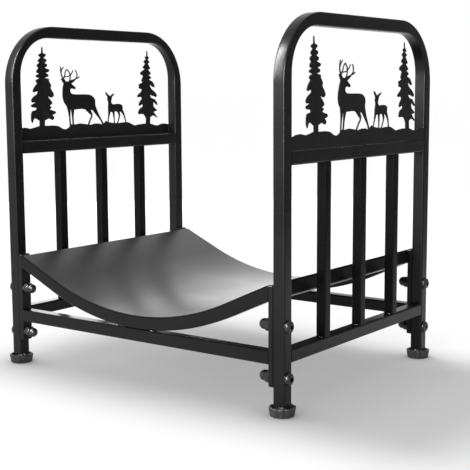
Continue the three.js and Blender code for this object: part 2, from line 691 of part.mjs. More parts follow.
/** Bolts with their heads on the outer faces of the legs and their nuts on the straps. */
function fasteners() {
  const group = new THREE.Group();
  const bolt = buttonBolt();
  const nut = domeNut();
  for (const [side, sign] of [["left", -1], ["right", 1]]) {
    for (const [end, y] of [["front", -legY], ["rear", legY]]) {
      for (const [level, z] of [["lower", lowerBoltHeight], ["upper", upperBoltHeight]]) {
        const screw = piece(`${side}_${end}_${level}_bolt`, bolt.clone(), "blackScrew");
        screw.rotation.y = (sign * Math.PI) / 2;
        group.add(placed(screw, sign * halfWidth, y, z));
        const cap = piece(`${side}_${end}_${level}_dome_nut`, nut.clone(), "blackScrew");
        cap.rotation.y = (-sign * Math.PI) / 2;
        group.add(placed(cap, sign * strapInnerX, y, z));
      }
    }
  }
  return group;
}

// Levelling feet

/** Closed body through rings about Z, from { z, radius, lobe } at the axis back to the axis. */
function loftedRings(rings) {
  const count = footLobes * footStepsPerLobe;
  const positions = [];
  const index = [];
  const start = [];
  for (const { z, radius, lobe } of rings) {
    start.push(positions.length / 3);
    if (radius === 0) {
      positions.push(0, 0, z);
      continue;
    }
    for (let i = 0; i < count; i += 1) {
      const angle = (2 * Math.PI * i) / count;
      const groove = 1 - Math.abs(Math.sin((footLobes * angle) / 2)) ** footGrooveShare;
      const r = radius - lobe * groove;
      positions.push(r * Math.cos(angle), r * Math.sin(angle), z);
    }
  }
  for (let k = 0; k < rings.length - 1; k += 1) {
    for (let i = 0; i < count; i += 1) {
      const j = (i + 1) % count;
      const a = start[k] + (rings[k].radius === 0 ? 0 : i);
      const b = start[k] + (rings[k].radius === 0 ? 0 : j);
      const c = start[k + 1] + (rings[k + 1].radius === 0 ? 0 : i);
      const d = start[k + 1] + (rings[k + 1].radius === 0 ? 0 : j);
      if (a !== b) {
        index.push(a, b, d);
      }
      if (c !== d) {
        index.push(a, d, c);
      }
    }
  }
  const geometry = new THREE.BufferGeometry();
  geometry.setAttribute("position", new THREE.BufferAttribute(new Float32Array(positions), 3));
  geometry.setIndex(index);
  geometry.computeVertexNormals();
  return geometry;
}

/** Moulded foot: lobed side flaring up to a rounded rim, a recess round the leg and a socket for the stud. */
function footPad() {
  const flare = (footRimRadius - footBaseRadius) / (footHeight - footLip);
  const outside = loftedRings([
    { z: 0, radius: 0, lobe: 0 },
    { z: 0, radius: footBaseRadius - footChamfer, lobe: 0 },
    { z: footChamfer, radius: footBaseRadius + flare * footChamfer, lobe: footLobeDepth },
    { z: footHeight - footLip, radius: footRimRadius, lobe: footLobeDepth },
    { z: footHeight, radius: footRimRadius - footLip, lobe: footLobeDepth },
    { z: footHeight, radius: 0, lobe: 0 },
  ]);
  const recess = rod(2 * recessRadius, 2 * recessDepth, recessSteps).translate(0, 0, footHeight);
  const socketDiameter = studDiameter + 2 * studSocketClearance;
  const socket = rod(socketDiameter, 2 * (footHeight - studSocketFloor)).translate(0, 0, footHeight);
  return cut(outside, [recess, socket]);
}

/** Threaded rod of a foot, from its socket in the pad up through the leg's insert. */
function footStud() {
  const foot = studSocketFloor + studSocketGap;
  const radius = studDiameter / 2;
  return turned([
    [0, foot],
    [radius, foot],
    [radius, studTop - studChamfer],
    [radius - studChamfer, studTop],
    [0, studTop],
  ]);
}

/** A foot under each leg. */
function feet() {
  const group = new THREE.Group();
  const pad = footPad();
  const stud = footStud();
  for (const [side, sign] of [["left", -1], ["right", 1]]) {
    for (const [end, y] of [["front", -legY], ["rear", legY]]) {
      const base = piece(`${side}_${end}_foot_pad`, pad.clone(), "plastic");
      base.rotation.z = footTurn;
      group.add(placed(base, sign * frameX, y, 0));
      group.add(placed(piece(`${side}_${end}_foot_stud`, stud.clone(), "zinc"), sign * frameX, y, 0));
    }
  }
  return group;
}

const group = new THREE.Group();
group.add(endFrame("left", -1));
group.add(endFrame("right", 1));
group.add(cradle());
group.add(fasteners());
group.add(feet());

export default group;
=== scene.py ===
"""Looks of the log holder: powder-coated frames, laser-cut scenes, a curved trough and its feet.

Lengths are in metres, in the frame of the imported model: +X towards the right end frame, +Y
towards the rear and +Z up, with the origin on the floor under the middle of the rack.
"""

import logging
import math
from dataclasses import dataclass, field
from enum import Enum
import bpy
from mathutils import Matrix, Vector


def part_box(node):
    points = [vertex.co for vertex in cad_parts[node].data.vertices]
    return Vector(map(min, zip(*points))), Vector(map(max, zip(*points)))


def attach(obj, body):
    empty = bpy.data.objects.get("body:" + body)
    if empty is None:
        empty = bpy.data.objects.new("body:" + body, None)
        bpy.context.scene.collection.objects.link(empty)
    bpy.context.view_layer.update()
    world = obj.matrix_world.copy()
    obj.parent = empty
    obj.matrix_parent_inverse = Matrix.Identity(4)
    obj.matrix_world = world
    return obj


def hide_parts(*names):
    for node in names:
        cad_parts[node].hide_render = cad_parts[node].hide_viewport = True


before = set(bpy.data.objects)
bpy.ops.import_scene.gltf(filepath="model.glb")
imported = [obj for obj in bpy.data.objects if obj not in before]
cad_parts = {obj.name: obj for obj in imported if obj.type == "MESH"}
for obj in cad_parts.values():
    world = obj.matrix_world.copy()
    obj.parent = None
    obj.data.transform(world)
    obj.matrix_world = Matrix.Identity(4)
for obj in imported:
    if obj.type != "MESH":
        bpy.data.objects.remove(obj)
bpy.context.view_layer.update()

from fnmatch import fnmatch
from itertools import product
from typing import Iterable, Sequence, TypeVar

import bmesh
import bpy
from mathutils import Matrix, Vector

LOG = logging.getLogger("log_holder")
MM = 0.001
QUARTER_TURN = math.pi / 2
FULL_TURN = 2 * math.pi
WHITE = (1.0, 1.0, 1.0, 1.0)
UNIT_HALF = 0.5  # half the side of a square of one metre
MERGE = 1e-7  # vertices nearer than this are one
SHARP = math.radians(34)  # edges that bend more than this stay sharp
FLAT_WEIGHT = 100  # how much the flat faces steer the shading of the corners beside them
CLOUD_DETAIL = 3.0
TINT_STOPS = (0.35, 0.65)  # the clouds' values between which the colour changes
GLOSS_STOPS = (0.3, 0.7)  # and those between which the roughness does
X = Vector((1, 0, 0))
Y = Vector((0, 1, 0))
Z = Vector((0, 0, 1))

Mesh = bmesh.types.BMesh
Vertex = bmesh.types.BMVert
Edge = bmesh.types.BMEdge
Ring = list[Edge]
Item = TypeVar("Item")
Material = bpy.types.Material
Socket = bpy.types.NodeSocket


class Side(Enum):
    """The two end frames, as the sign of their place along X."""

    LEFT = -1
    RIGHT = 1

    @property
    def word(self) -> str:
        """Name used in the pieces."""
        return self.name.lower()


class End(Enum):
    """The front and the rear of the rack, as the sign along Y."""

    FRONT = -1
    REAR = 1

    @property
    def word(self) -> str:
        """Name used in the pieces."""
        return self.name.lower()


class Level(Enum):
    """The two screws of a strap."""

    LOWER = "lower"
    UPPER = "upper"


class Bead(Enum):
    """The kinds of weld bead, as the count of their ripples."""

    SPOT = 2
    SHEET_FOOT = 3
    SHEET_END = 4
    RAIL = 5


# Colours


def linear(hex_colour: str) -> tuple[float, float, float, float]:
    """Turn an sRGB hex colour into linear values.

    Args:
        hex_colour: Six hex digits after a hash sign.

    Returns:
        Red, green, blue and an alpha of 1.
    """
    channels = [int(hex_colour[i : i + 2], 16) / 255 for i in (1, 3, 5)]
    straight = [c / 12.92 if c <= 0.04045 else ((c + 0.055) / 1.055) ** 2.4 for c in channels]
    return (*straight, 1.0)


def per_length(length: float) -> float:
    """Scale of a pattern on Object coordinates whose features are `length` metres apart."""
    return 1 / length


class Nodes:
    """Node tree of one material or of the world, filled a node at a time."""

    def __init__(self, owner: Material | bpy.types.World) -> None:
        """Empty the owner's tree.

        Args:
            owner: Material or world that the nodes belong to.
        """
        owner.use_nodes = True
        self.owner = owner
        self.tree = owner.node_tree
        self.tree.nodes.clear()

    def add(
        self, kind: str, settings: dict[str, object] | None = None, **inputs: object
    ) -> bpy.types.Node:
        """Add a node with its settings, values and links.

        Args:
            kind: The node's type name.
            settings: Properties of the node itself.
            **inputs: Values or outputs to link, by the input's name with underscores for spaces.

        Returns:
            The new node.
        """
        node = self.tree.nodes.new(kind)
        for key, value in (settings or {}).items():
            setattr(node, key, value)
        for key, value in inputs.items():
            self.feed(node.inputs[key.replace("_", " ")], value)
        return node

    def feed(self, socket: Socket, value: object) -> None:
        """Link an output to an input, or write a value into it.

        Args:
            socket: The input.
            value: The output or the value.
        """
        if isinstance(value, Socket):
            self.tree.links.new(value, socket)
        else:
            socket.default_value = value

    def finish(self, surface: bpy.types.Node) -> Material | bpy.types.World:
        """Link the surface to the output.

        Args:
            surface: Node whose first output is the surface.

        Returns:
            The finished material or world.
        """
        is_world = isinstance(self.owner, bpy.types.World)
        output = self.add("ShaderNodeOutputWorld" if is_world else "ShaderNodeOutputMaterial")
        self.tree.links.new(surface.outputs[0], output.inputs["Surface"])
        return self.owner


@dataclass(frozen=True)
class Grain:
    """Relief that a surface shows.

    Attributes:
        size: Distance between its bumps.
        height: How high they stand.
        detail: How many finer layers the noise has.
    """

    size: float
    height: float
    detail: float = 2.0


@dataclass(frozen=True)
class Finish:
    """What every finish of the rack has: noise in colour and roughness over two grains in relief.

    Attributes:
        name: Common name and how the surface was made.
        colour: Its colour.
        other: The colour that it varies to.
        roughness: Roughness at the low and at the high places of the clouds.
        cloud: Size of the clouds of colour and roughness.
        coarse: The coarser relief.
        fine: The finer relief.
        ior: Index of refraction, or None for a metal.
        specular: Share of the reflection, 0.5 being that of the index.
        metallic: 1 for bare metal.
    """

    name: str
    colour: str
    other: str
    roughness: tuple[float, float]
    cloud: float
    coarse: Grain
    fine: Grain
    ior: float | None = 1.5
    specular: float = 0.5
    metallic: float = 0.0

    def make(self) -> Material:
        """Build the material.

        Returns:
            The material.
        """
        nodes = Nodes(bpy.data.materials.new(self.name))
        place = nodes.add("ShaderNodeTexCoord").outputs["Object"]
        clouds = nodes.add(
            "ShaderNodeTexNoise", Vector=place, Scale=per_length(self.cloud), Detail=CLOUD_DETAIL
        )
        haze = clouds.outputs["Fac"]
        tint = nodes.add("ShaderNodeValToRGB", Fac=haze)
        stops = zip(tint.color_ramp.elements, TINT_STOPS, (self.other, self.colour))
        for stop, position, colour in stops:
            stop.position = position
            stop.color = linear(colour)
        gloss = nodes.add(
            "ShaderNodeMapRange",
            Value=haze,
            From_Min=GLOSS_STOPS[0],
            From_Max=GLOSS_STOPS[1],
            To_Min=self.roughness[0],
            To_Max=self.roughness[1],
        )
        shader = nodes.add(
            "ShaderNodeBsdfPrincipled",
            Base_Color=tint.outputs["Color"],
            Roughness=gloss.outputs["Result"],
            Metallic=self.metallic,
            Specular_IOR_Level=self.specular,
        )
        if self.ior is not None:
            nodes.feed(shader.inputs["IOR"], self.ior)
        relief = shader.inputs["Normal"]
        for grain in (self.coarse, self.fine):
            scale = per_length(grain.size)
            noise = nodes.add("ShaderNodeTexNoise", Vector=place, Scale=scale, Detail=grain.detail)
            height = noise.outputs["Fac"]
            bump = nodes.add("ShaderNodeBump", Height=height, Distance=grain.height, Strength=1.0)
            nodes.feed(relief, bump.outputs["Normal"])
            relief = bump.inputs["Normal"]
        return nodes.finish(shader)


@dataclass(frozen=True)
class PowderCoat(Finish):
    """Polyester powder coat, sprayed and baked on mild steel: black, even and softly glossy.

    The melted powder leaves a shallow orange peel that breaks up the edges of reflections, and a
    grain of fine bubbles. It is a little glossier and darker where it pooled.
    """

    name: str = "powder_coated_steel_tube"
    colour: str = "#161618"
    other: str = "#101012"
    roughness: tuple[float, float] = (0.26, 0.33)
    cloud: float = 60 * MM
    coarse: Grain = Grain(1.5 * MM, 0.012 * MM, 1.0)
    fine: Grain = Grain(0.35 * MM, 0.003 * MM)
    specular: float = 0.2


@dataclass(frozen=True)
class BarCoat(PowderCoat):
    """The same powder on the thinner bars: a shade darker and mirroring less."""

    name: str = "powder_coated_steel_bar"
    colour: str = "#111113"
    other: str = "#0c0c0e"
    roughness: tuple[float, float] = (0.24, 0.3)
    specular: float = 0.08


@dataclass(frozen=True)
class RolledSheetCoat(PowderCoat):
    """The same powder on the trough's cold-rolled sheet: paler, with a broad and even sheen."""

    name: str = "powder_coated_rolled_sheet"
    colour: str = "#1e1e20"
    other: str = "#18181a"
    roughness: tuple[float, float] = (0.34, 0.4)
    cloud: float = 90 * MM
    coarse: Grain = Grain(2.2 * MM, 0.01 * MM, 1.0)
    specular: float = 0.5


@dataclass(frozen=True)
class LaserCutCoat(PowderCoat):
    """The same powder on laser-cut sheet, blasted first: thin and a little duller."""

    name: str = "powder_coated_laser_cut_sheet"
    roughness: tuple[float, float] = (0.38, 0.48)
    cloud: float = 40 * MM


@dataclass(frozen=True)
class WeldCoat(PowderCoat):
    """The same powder drawn thin over weld metal: the ripples and spatter still show."""

    name: str = "powder_coated_weld_bead"
    roughness: tuple[float, float] = (0.15, 0.25)
    cloud: float = 5 * MM
    coarse: Grain = Grain(0.7 * MM, 0.05 * MM, 1.0)
    specular: float = 0.6


@dataclass(frozen=True)
class BlackenedSteel(Finish):
    """Cold-forged steel, blackened in a bath and oiled: glossy, greyer where handling rubbed it."""

    name: str = "blackened_oiled_steel_screws"
    colour: str = "#1b1b1d"
    other: str = "#2b2b2d"
    roughness: tuple[float, float] = (0.34, 0.2)
    cloud: float = 4 * MM
    coarse: Grain = Grain(1.1 * MM, 0.01 * MM, 1.0)
    fine: Grain = Grain(0.25 * MM, 0.003 * MM)


@dataclass(frozen=True)
class MouldedNylon(Finish):
    """Injection-moulded nylon: the eroded mould leaves a fine matt grain, paler where dusty."""

    name: str = "injection_moulded_nylon_feet"
    colour: str = "#29292b"
    other: str = "#363638"
    roughness: tuple[float, float] = (0.6, 0.48)
    cloud: float = 7 * MM
    coarse: Grain = Grain(0.9 * MM, 0.02 * MM, 2.0)
    fine: Grain = Grain(0.4 * MM, 0.01 * MM)
    ior: float | None = 1.53


@dataclass(frozen=True)
class ZincPlate(Finish):
    """Rolled steel thread with bright zinc plating: pale and shiny, dulled white in patches."""

    name: str = "bright_zinc_plated_thread"
    colour: str = "#b4b6ba"
    other: str = "#8b8d91"
    roughness: tuple[float, float] = (0.42, 0.25)
    cloud: float = 3 * MM
    coarse: Grain = Grain(0.8 * MM, 0.01 * MM, 1.0)
    fine: Grain = Grain(0.2 * MM, 0.003 * MM)
    ior: float | None = None
    metallic: float = 1.0


class Finishes:
    """Every finish of the rack, each made once."""

    def __init__(self) -> None:
        """Build the materials."""
        self.tube = PowderCoat().make()
        self.bar = BarCoat().make()
        self.plate = RolledSheetCoat().make()
        self.panel = LaserCutCoat().make()
        self.weld = WeldCoat().make()
        self.screw = BlackenedSteel().make()
        self.foot = MouldedNylon().make()
        self.insert = MouldedNylon("injection_moulded_nylon_inserts", "#1d1d1f", "#28282a").make()
        self.zinc = ZincPlate().make()


# Mesh work


def once(items: Iterable[Item]) -> list[Item]:
    """Items in their order, each once."""
    return list(dict.fromkeys(items))


def ring_vertices(ring: Iterable[Edge]) -> list[Vertex]:
    """Vertices of a ring of edges, each once."""
    return once(vertex for edge in ring for vertex in edge.verts)


def move(mesh: Mesh, by: Vector) -> None:
    """Move a whole mesh."""
    bmesh.ops.translate(mesh, vec=by, verts=mesh.verts[:])


def rotate(mesh: Mesh, angle: float, axis: str) -> None:
    """Rotate a whole mesh about one of the axes."""
    bmesh.ops.rotate(mesh, matrix=Matrix.Rotation(angle, 3, axis), verts=mesh.verts[:])


def bevel(
    mesh: Mesh,
    corners: list[Vertex | Edge],
    offset: float,
    steps: int,
    affect: str = "VERTICES",
    clamped: bool = False,
) -> None:
    """Round or chamfer corners.

    Args:
        mesh: Mesh that holds them.
        corners: The edges, or vertices with their edges.
        offset: Distance from a corner at which it starts.
        steps: Facets of each corner.
        affect: Whether it works on vertices or on edges.
        clamped: Whether it is kept narrower where it would overlap another.
    """
    bmesh.ops.bevel(
        mesh,
        geom=corners,
        offset=offset,
        offset_type="OFFSET",
        segments=steps,
        profile=0.5,
        affect=affect,
        clamp_overlap=clamped,
        material=-1,
    )


def rounded_ring(mesh: Mesh, width: float, height: float, corner: float, steps: int) -> Ring:
    """Ring of a rectangle with rounded corners in the XY plane, about the origin.

    Args:
        mesh: Mesh to add it to.
        width: Size along X.
        height: Size along Y.
        corner: Radius of the corners.
        steps: Facets of each corner.

    Returns:
        The ring's edges.
    """
    made = bmesh.ops.create_grid(mesh, x_segments=1, y_segments=1, size=UNIT_HALF)
    corners = made["verts"]
    bmesh.ops.scale(mesh, vec=(width, height, 1), verts=corners)
    faces = once(face for vertex in corners for face in vertex.link_faces)
    bmesh.ops.delete(mesh, geom=faces, context="FACES_ONLY")
    edges = once(edge for vertex in corners for edge in vertex.link_edges)
    bevel(mesh, corners + edges, corner, steps)
    return [edge for edge in mesh.edges if edge.is_wire]


def circle_ring(mesh: Mesh, radius: float, steps: int) -> Ring:
    """Ring of a circle in the XY plane, about the origin."""
    made = bmesh.ops.create_circle(mesh, radius=radius, segments=steps, cap_ends=False)
    return once(edge for vertex in made["verts"] for edge in vertex.link_edges)


def hexagon(mesh: Mesh, flats: float) -> Ring:
    """Ring of a hexagon in the XY plane, by its width across the flats."""
    return circle_ring(mesh, flats / math.sqrt(3), 6)


def extruded(mesh: Mesh, ring: Ring, by: Vector) -> Ring:
    """Extrude a ring by a vector.

    Args:
        mesh: Mesh that holds the ring.
        ring: Edges to extrude.
        by: How far the new ring stands from the old one.

    Returns:
        The new ring.
    """
    made = bmesh.ops.extrude_edge_only(mesh, edges=ring)["geom"]
    new_vertices = [item for item in made if isinstance(item, Vertex)]
    bmesh.ops.translate(mesh, vec=by, verts=new_vertices)
    new = set(new_vertices)
    return [item for item in made if isinstance(item, Edge) and new.issuperset(item.verts)]


def narrowed(mesh: Mesh, ring: Ring, share: float, centre: Vector) -> Ring:
    """Scale a flat ring about its middle.

    Args:
        mesh: Mesh that holds the ring.
        ring: Edges to scale.
        share: Its new width as a share of the old one.
        centre: Middle of the ring.

    Returns:
        The same ring.
    """
    space = Matrix.Translation(-centre)
    bmesh.ops.scale(mesh, vec=Vector((share, share, 1)), space=space, verts=ring_vertices(ring))
    return ring


def spun(mesh: Mesh, ring: Ring, centre: Vector, axis: Vector, angle: float, steps: int) -> Ring:
    """Spin a ring about an axis.

    Args:
        mesh: Mesh that holds the ring.
        ring: Edges to spin.
        centre: Point on the axis.
        axis: Direction of the axis.
        angle: Turn in radians.
        steps: Count of steps.

    Returns:
        The last ring.
    """
    made = bmesh.ops.spin(
        mesh,
        geom=ring_vertices(ring) + ring,
        cent=centre,
        axis=axis,
        dvec=Vector(),
        angle=angle,
        steps=steps,
        use_merge=False,
        use_duplicate=False,
    )["geom_last"]
    return [item for item in made if isinstance(item, Edge)]


def filled(mesh: Mesh, ring: Ring) -> None:
    """Close a ring with one face."""
    bmesh.ops.contextual_create(mesh, geom=ring)


def bridged(mesh: Mesh, first: Ring, second: Ring) -> None:
    """Join two rings with a band of faces."""
    bmesh.ops.bridge_loops(mesh, edges=first + second)


def profile_line(mesh: Mesh, points: Sequence[tuple[float, float]]) -> Ring:
    """Line of edges in the XZ plane through points given by radius and height."""
    vertices = [mesh.verts.new((radius, 0, height)) for radius, height in points]
    return [mesh.edges.new(pair) for pair in zip(vertices, vertices[1:])]


def rounded_profile(
    mesh: Mesh, points: Sequence[tuple[float, float]], rounds: dict[int, float], steps: int
) -> Ring:
    """Line of edges in the XZ plane with some of its corners rounded.

    Args:
        mesh: Mesh to add it to.
        points: Radius and height of each point, in order.
        rounds: Distance from a corner at which its rounding starts, by the corner's place.
        steps: Facets of each rounding.

    Returns:
        The line's edges.
    """
    profile_line(mesh, points)
    mesh.verts.ensure_lookup_table()
    corners = [(mesh.verts[place], offset) for place, offset in rounds.items()]
    for corner, offset in corners:
        bevel(mesh, [corner, *corner.link_edges], offset, steps)
    return list(mesh.edges)


def turned(mesh: Mesh, line: Ring, steps: int) -> None:
    """Turn a line all the way round the Z axis.

    Args:
        mesh: Mesh that holds the line.
        line: Edges of the profile.
        steps: Facets round the axis.
    """
    bmesh.ops.spin(
        mesh,
        geom=ring_vertices(line) + line,
        cent=Vector(),
        axis=Z,
        dvec=Vector(),
        angle=FULL_TURN,
        steps=steps,
        use_merge=True,
        use_duplicate=False,
    )
    bmesh.ops.remove_doubles(mesh, verts=mesh.verts[:], dist=MERGE)


@dataclass
class Piece:
    """A finished mesh on its way into the scene.

    Attributes:
        name: Name of the piece.
        mesh: Its mesh, in place.
        material: Its finish.
        body: The body that it rides on.
        slot: The record's material slot; not used.
        nodes: The solids that it stands for.
        smooth: Whether its curved faces are shaded round.
    """

    name: str
    mesh: Mesh
    material: Material
    body: str = "rack"
    slot: str = "coated_tube"
    nodes: tuple[str, ...] = ()
    smooth: bool = True

    def place(self) -> bpy.types.Object:
        """Turn the mesh into an object that rides on its body.

        Returns:
            The new object.
        """
        bmesh.ops.recalc_face_normals(self.mesh, faces=self.mesh.faces[:])
        data = bpy.data.meshes.new(self.name)
        self.mesh.to_mesh(data)
        self.mesh.free()
        data.materials.append(self.material)
        made = bpy.data.objects.new(self.name, data)
        bpy.context.scene.collection.objects.link(made)
        if self.smooth:
            data.shade_smooth()
            data.set_sharp_from_angle(angle=SHARP)
            even = made.modifiers.new("even_flats", "WEIGHTED_NORMAL")
            even.mode = "FACE_AREA"
            even.weight = FLAT_WEIGHT
            even.keep_sharp = True
        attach(made, self.body)
        if self.nodes:
            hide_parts(*self.nodes)
        LOG.info("%s: %d faces on %s", self.name, len(data.polygons), self.body)
        return made


# The rack


@dataclass(frozen=True)
class Stock:
    """Square tube.

    Attributes:
        size: Its size across.
        wall: Thickness of its wall.
        corner: Radius of its corners.
        steps: Facets of each corner.
    """

    size: float
    wall: float
    corner: float
    steps: int = 4

    def ring(self, mesh: Mesh) -> Ring:
        """Ring of the tube's outside in the XY plane."""
        return rounded_ring(mesh, self.size, self.size, self.corner, self.steps)

    def length(self, mesh: Mesh, reach: float) -> None:
        """Model a closed length of tube along the Z axis, about the origin.

        Args:
            mesh: Mesh to add it to.
            reach: How long it is.
        """
        start = self.ring(mesh)
        end = extruded(mesh, start, Z * reach)
        filled(mesh, start)
        filled(mesh, end)
        move(mesh, -Z * reach / 2)


RACK_TUBE = Stock(15 * MM, 1.5 * MM, 2.1 * MM)
BAR_TUBE = Stock(12 * MM, 1.2 * MM, 1.5 * MM)


@dataclass
class StraightTube:
    """A straight piece of tube between two faces, as long as the solid that it stands for.

    Attributes:
        node: The solid.
        stock: Its tube.
        coat: Its finish.
    """

    node: str
    stock: Stock
    coat: Material

    def build(self) -> Piece:
        """Model the tube along its longest side, closed where it is welded on.

        Returns:
            The piece.
        """
        low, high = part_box(self.node)
        spans = high - low
        along = max(range(3), key=lambda axis: spans[axis])
        mesh = bmesh.new()
        self.stock.length(mesh, spans[along])
        if along < 2:  # from Z to X about Y, or to Y about X
            rotate(mesh, QUARTER_TURN, "YX"[along])
        move(mesh, (low + high) / 2)
        return Piece(self.node, mesh, self.coat, nodes=(self.node,))


@dataclass
class Hoop:
    """Hoop of an end frame: one tube bent twice over a former.

    Attributes:
        side: The end frame.
        finishes: Every finish of the rack.
        stock: Its tube.
        outer_radius: Radius of the bends' outer walls.
        inner_radius: Radius of the inner walls, which the former leaves flatter.
        bulge: How far the press swells the outer and inner walls in the middle of a bend.
        open_depth: How far up a leg its bore is modelled.
        bend_steps: Facets of a bend.
        wall_cuts: Cuts across each wall.
    """

    side: Side
    finishes: Finishes
    stock: Stock = RACK_TUBE
    outer_radius: float = 75 * MM
    inner_radius: float = 49 * MM
    bulge: float = 0.4 * MM
    open_depth: float = 12 * MM
    bend_steps: int = 36
    wall_cuts: int = 7

    def _inner_distance(self, angle: float) -> float:
        """Distance of the pressed inner wall from the centre of the outer bend.

        Args:
            angle: Direction from that centre, from the straight leg towards the top.

        Returns:
            The distance in metres.
        """
        shift = self.inner_radius + self.stock.size - self.outer_radius
        inner = self.outer_radius - self.stock.size
        away = -shift * math.sqrt(2)
        straight_until = math.atan2(-shift, inner)
        if angle < straight_until:
            return inner / math.cos(angle)
        if angle > QUARTER_TURN - straight_until:
            return inner / math.sin(angle)
        from_diagonal = angle - math.pi / 4
        return away * math.cos(from_diagonal) + math.sqrt(
            self.inner_radius**2 - (away * math.sin(from_diagonal)) ** 2
        )

    def _press(self, mesh: Mesh, centre: Vector, toward: int) -> None:
        """Push the inner wall of a bend outwards to where the former left it, and swell both walls.

        Args:
            mesh: The hoop's mesh.
            centre: Centre of the outer bend.
            toward: The sign along Y of the bend's outer side.
        """
        for vertex in mesh.verts:
            across = (vertex.co.y - centre.y) * toward
            up = vertex.co.z - centre.z
            if across < -MERGE or up < -MERGE:
                continue
            distance = math.hypot(across, up)
            if distance > self.outer_radius + MERGE:
                continue
            angle = math.atan2(up, across)
            share = (self.outer_radius - distance) / self.stock.size
            room = self.outer_radius - self._inner_distance(angle)
            sideways = (vertex.co.x - centre.x) / (self.stock.size / 2)
            swell = self.bulge * (1 - sideways**2) * math.sin(2 * angle)
            wanted = self.outer_radius - share * room - swell * (2 * share - 1)
            vertex.co.y = centre.y + toward * wanted * math.cos(angle)
            vertex.co.z = centre.z + wanted * math.sin(angle)

    def build(self) -> Piece:
        """Model the hoop from the foot of its front leg to that of its rear leg.

        Returns:
            The piece.
        """
        node = f"{self.side.word}_hoop"
        low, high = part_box(node)
        half = (high.y - low.y) / 2
        middle_x = (low.x + high.x) / 2
        leg_y = half - self.stock.size / 2
        bend_z = high.z - self.outer_radius
        mesh = bmesh.new()
        outline = self.stock.ring(mesh)
        walls = [edge for edge in outline if edge.calc_length() > self.stock.size / 2]
        bmesh.ops.subdivide_edges(mesh, edges=walls, cuts=self.wall_cuts)
        first = mesh.edges[:]
        move(mesh, Vector((middle_x, -leg_y, low.z)))
        ring = extruded(mesh, first, Z * (bend_z - low.z))
        front_centre = Vector((middle_x, self.outer_radius - half, bend_z))
        ring = spun(mesh, ring, front_centre, X, -QUARTER_TURN, self.bend_steps)
        ring = extruded(mesh, ring, Y * 2 * (half - self.outer_radius))
        rear_centre = Vector((middle_x, half - self.outer_radius, bend_z))
        ring = spun(mesh, ring, rear_centre, X, -QUARTER_TURN, self.bend_steps)
        last = extruded(mesh, ring, -Z * (bend_z - low.z))
        self._press(mesh, front_centre, -1)
        self._press(mesh, rear_centre, 1)
        for end, y in ((first, -leg_y), (last, leg_y)):
            self._open_end(mesh, end, Vector((middle_x, y, low.z)))
        return Piece(node, mesh, self.finishes.tube, nodes=(node,))

    def _open_end(self, mesh: Mesh, ring: Ring, centre: Vector) -> None:
        """Give a leg its wall and a bore, closed further up where it can't be seen.

        Args:
            mesh: The hoop's mesh.
            ring: Ring at the leg's lower end.
            centre: Middle of that ring.
        """
        share = 1 - 2 * self.stock.wall / self.stock.size
        inner = narrowed(mesh, extruded(mesh, ring, Vector()), share, centre)
        filled(mesh, extruded(mesh, inner, Z * self.open_depth))


@dataclass
class ScenePanel:
    """Laser-cut scene: the solid's outline with its arrises broken by the blast before coating.

    Attributes:
        side: The end frame.
        finishes: Every finish of the rack.
        arris: How far the blast broke the edges.
        join: Distance within which the solid's loose corners are one.
        flat_angle: Most bend between two triangles of one flat face.
        edge_angle: Least bend of an edge that is broken.
    """

    side: Side
    finishes: Finishes
    arris: float = 0.2 * MM
    join: float = 0.001 * MM
    flat_angle: float = math.radians(1)
    edge_angle: float = math.radians(50)

    def build(self) -> Piece:
        """Join the solid's loose triangles, clear the flat faces of seams and break the arrises.

        Returns:
            The piece.
        """
        node = f"{self.side.word}_scene_panel"
        mesh = bmesh.new()
        mesh.from_mesh(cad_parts[node].data)
        bmesh.ops.remove_doubles(mesh, verts=mesh.verts[:], dist=self.join)
        bmesh.ops.dissolve_limit(
            mesh, angle_limit=self.flat_angle, verts=mesh.verts[:], edges=mesh.edges[:]
        )
        rims = [
            edge
            for edge in mesh.edges
            if len(edge.link_faces) == 2
            and edge.calc_face_angle(0) > self.edge_angle
            and any(abs(face.normal.x) > math.cos(self.edge_angle) for face in edge.link_faces)
        ]
        bevel(mesh, rims, self.arris, 1, "EDGES", clamped=True)
        coat = self.finishes.panel
        return Piece(node, mesh, coat, slot="coated_panel", nodes=(node,), smooth=False)


@dataclass
class EndFrame:
    """Hoop, rails, uprights and scene of one end.

    Attributes:
        side: Which end it is.
        finishes: Every finish of the rack.
    """

    side: Side
    finishes: Finishes

    def build(self) -> list[Piece]:
        """Model every piece of the end frame.

        Returns:
            The pieces.
        """
        word = self.side.word
        parts = [kind(self.side, self.finishes) for kind in (Hoop, ScenePanel)]
        for rail in ("mid_rail", "bottom_rail"):
            parts.append(StraightTube(f"{word}_{rail}", RACK_TUBE, self.finishes.tube))
        for name in sorted(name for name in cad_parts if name.startswith(f"{word}_bar_")):
            parts.append(StraightTube(name, BAR_TUBE, self.finishes.bar))
        return [part.build() for part in parts]


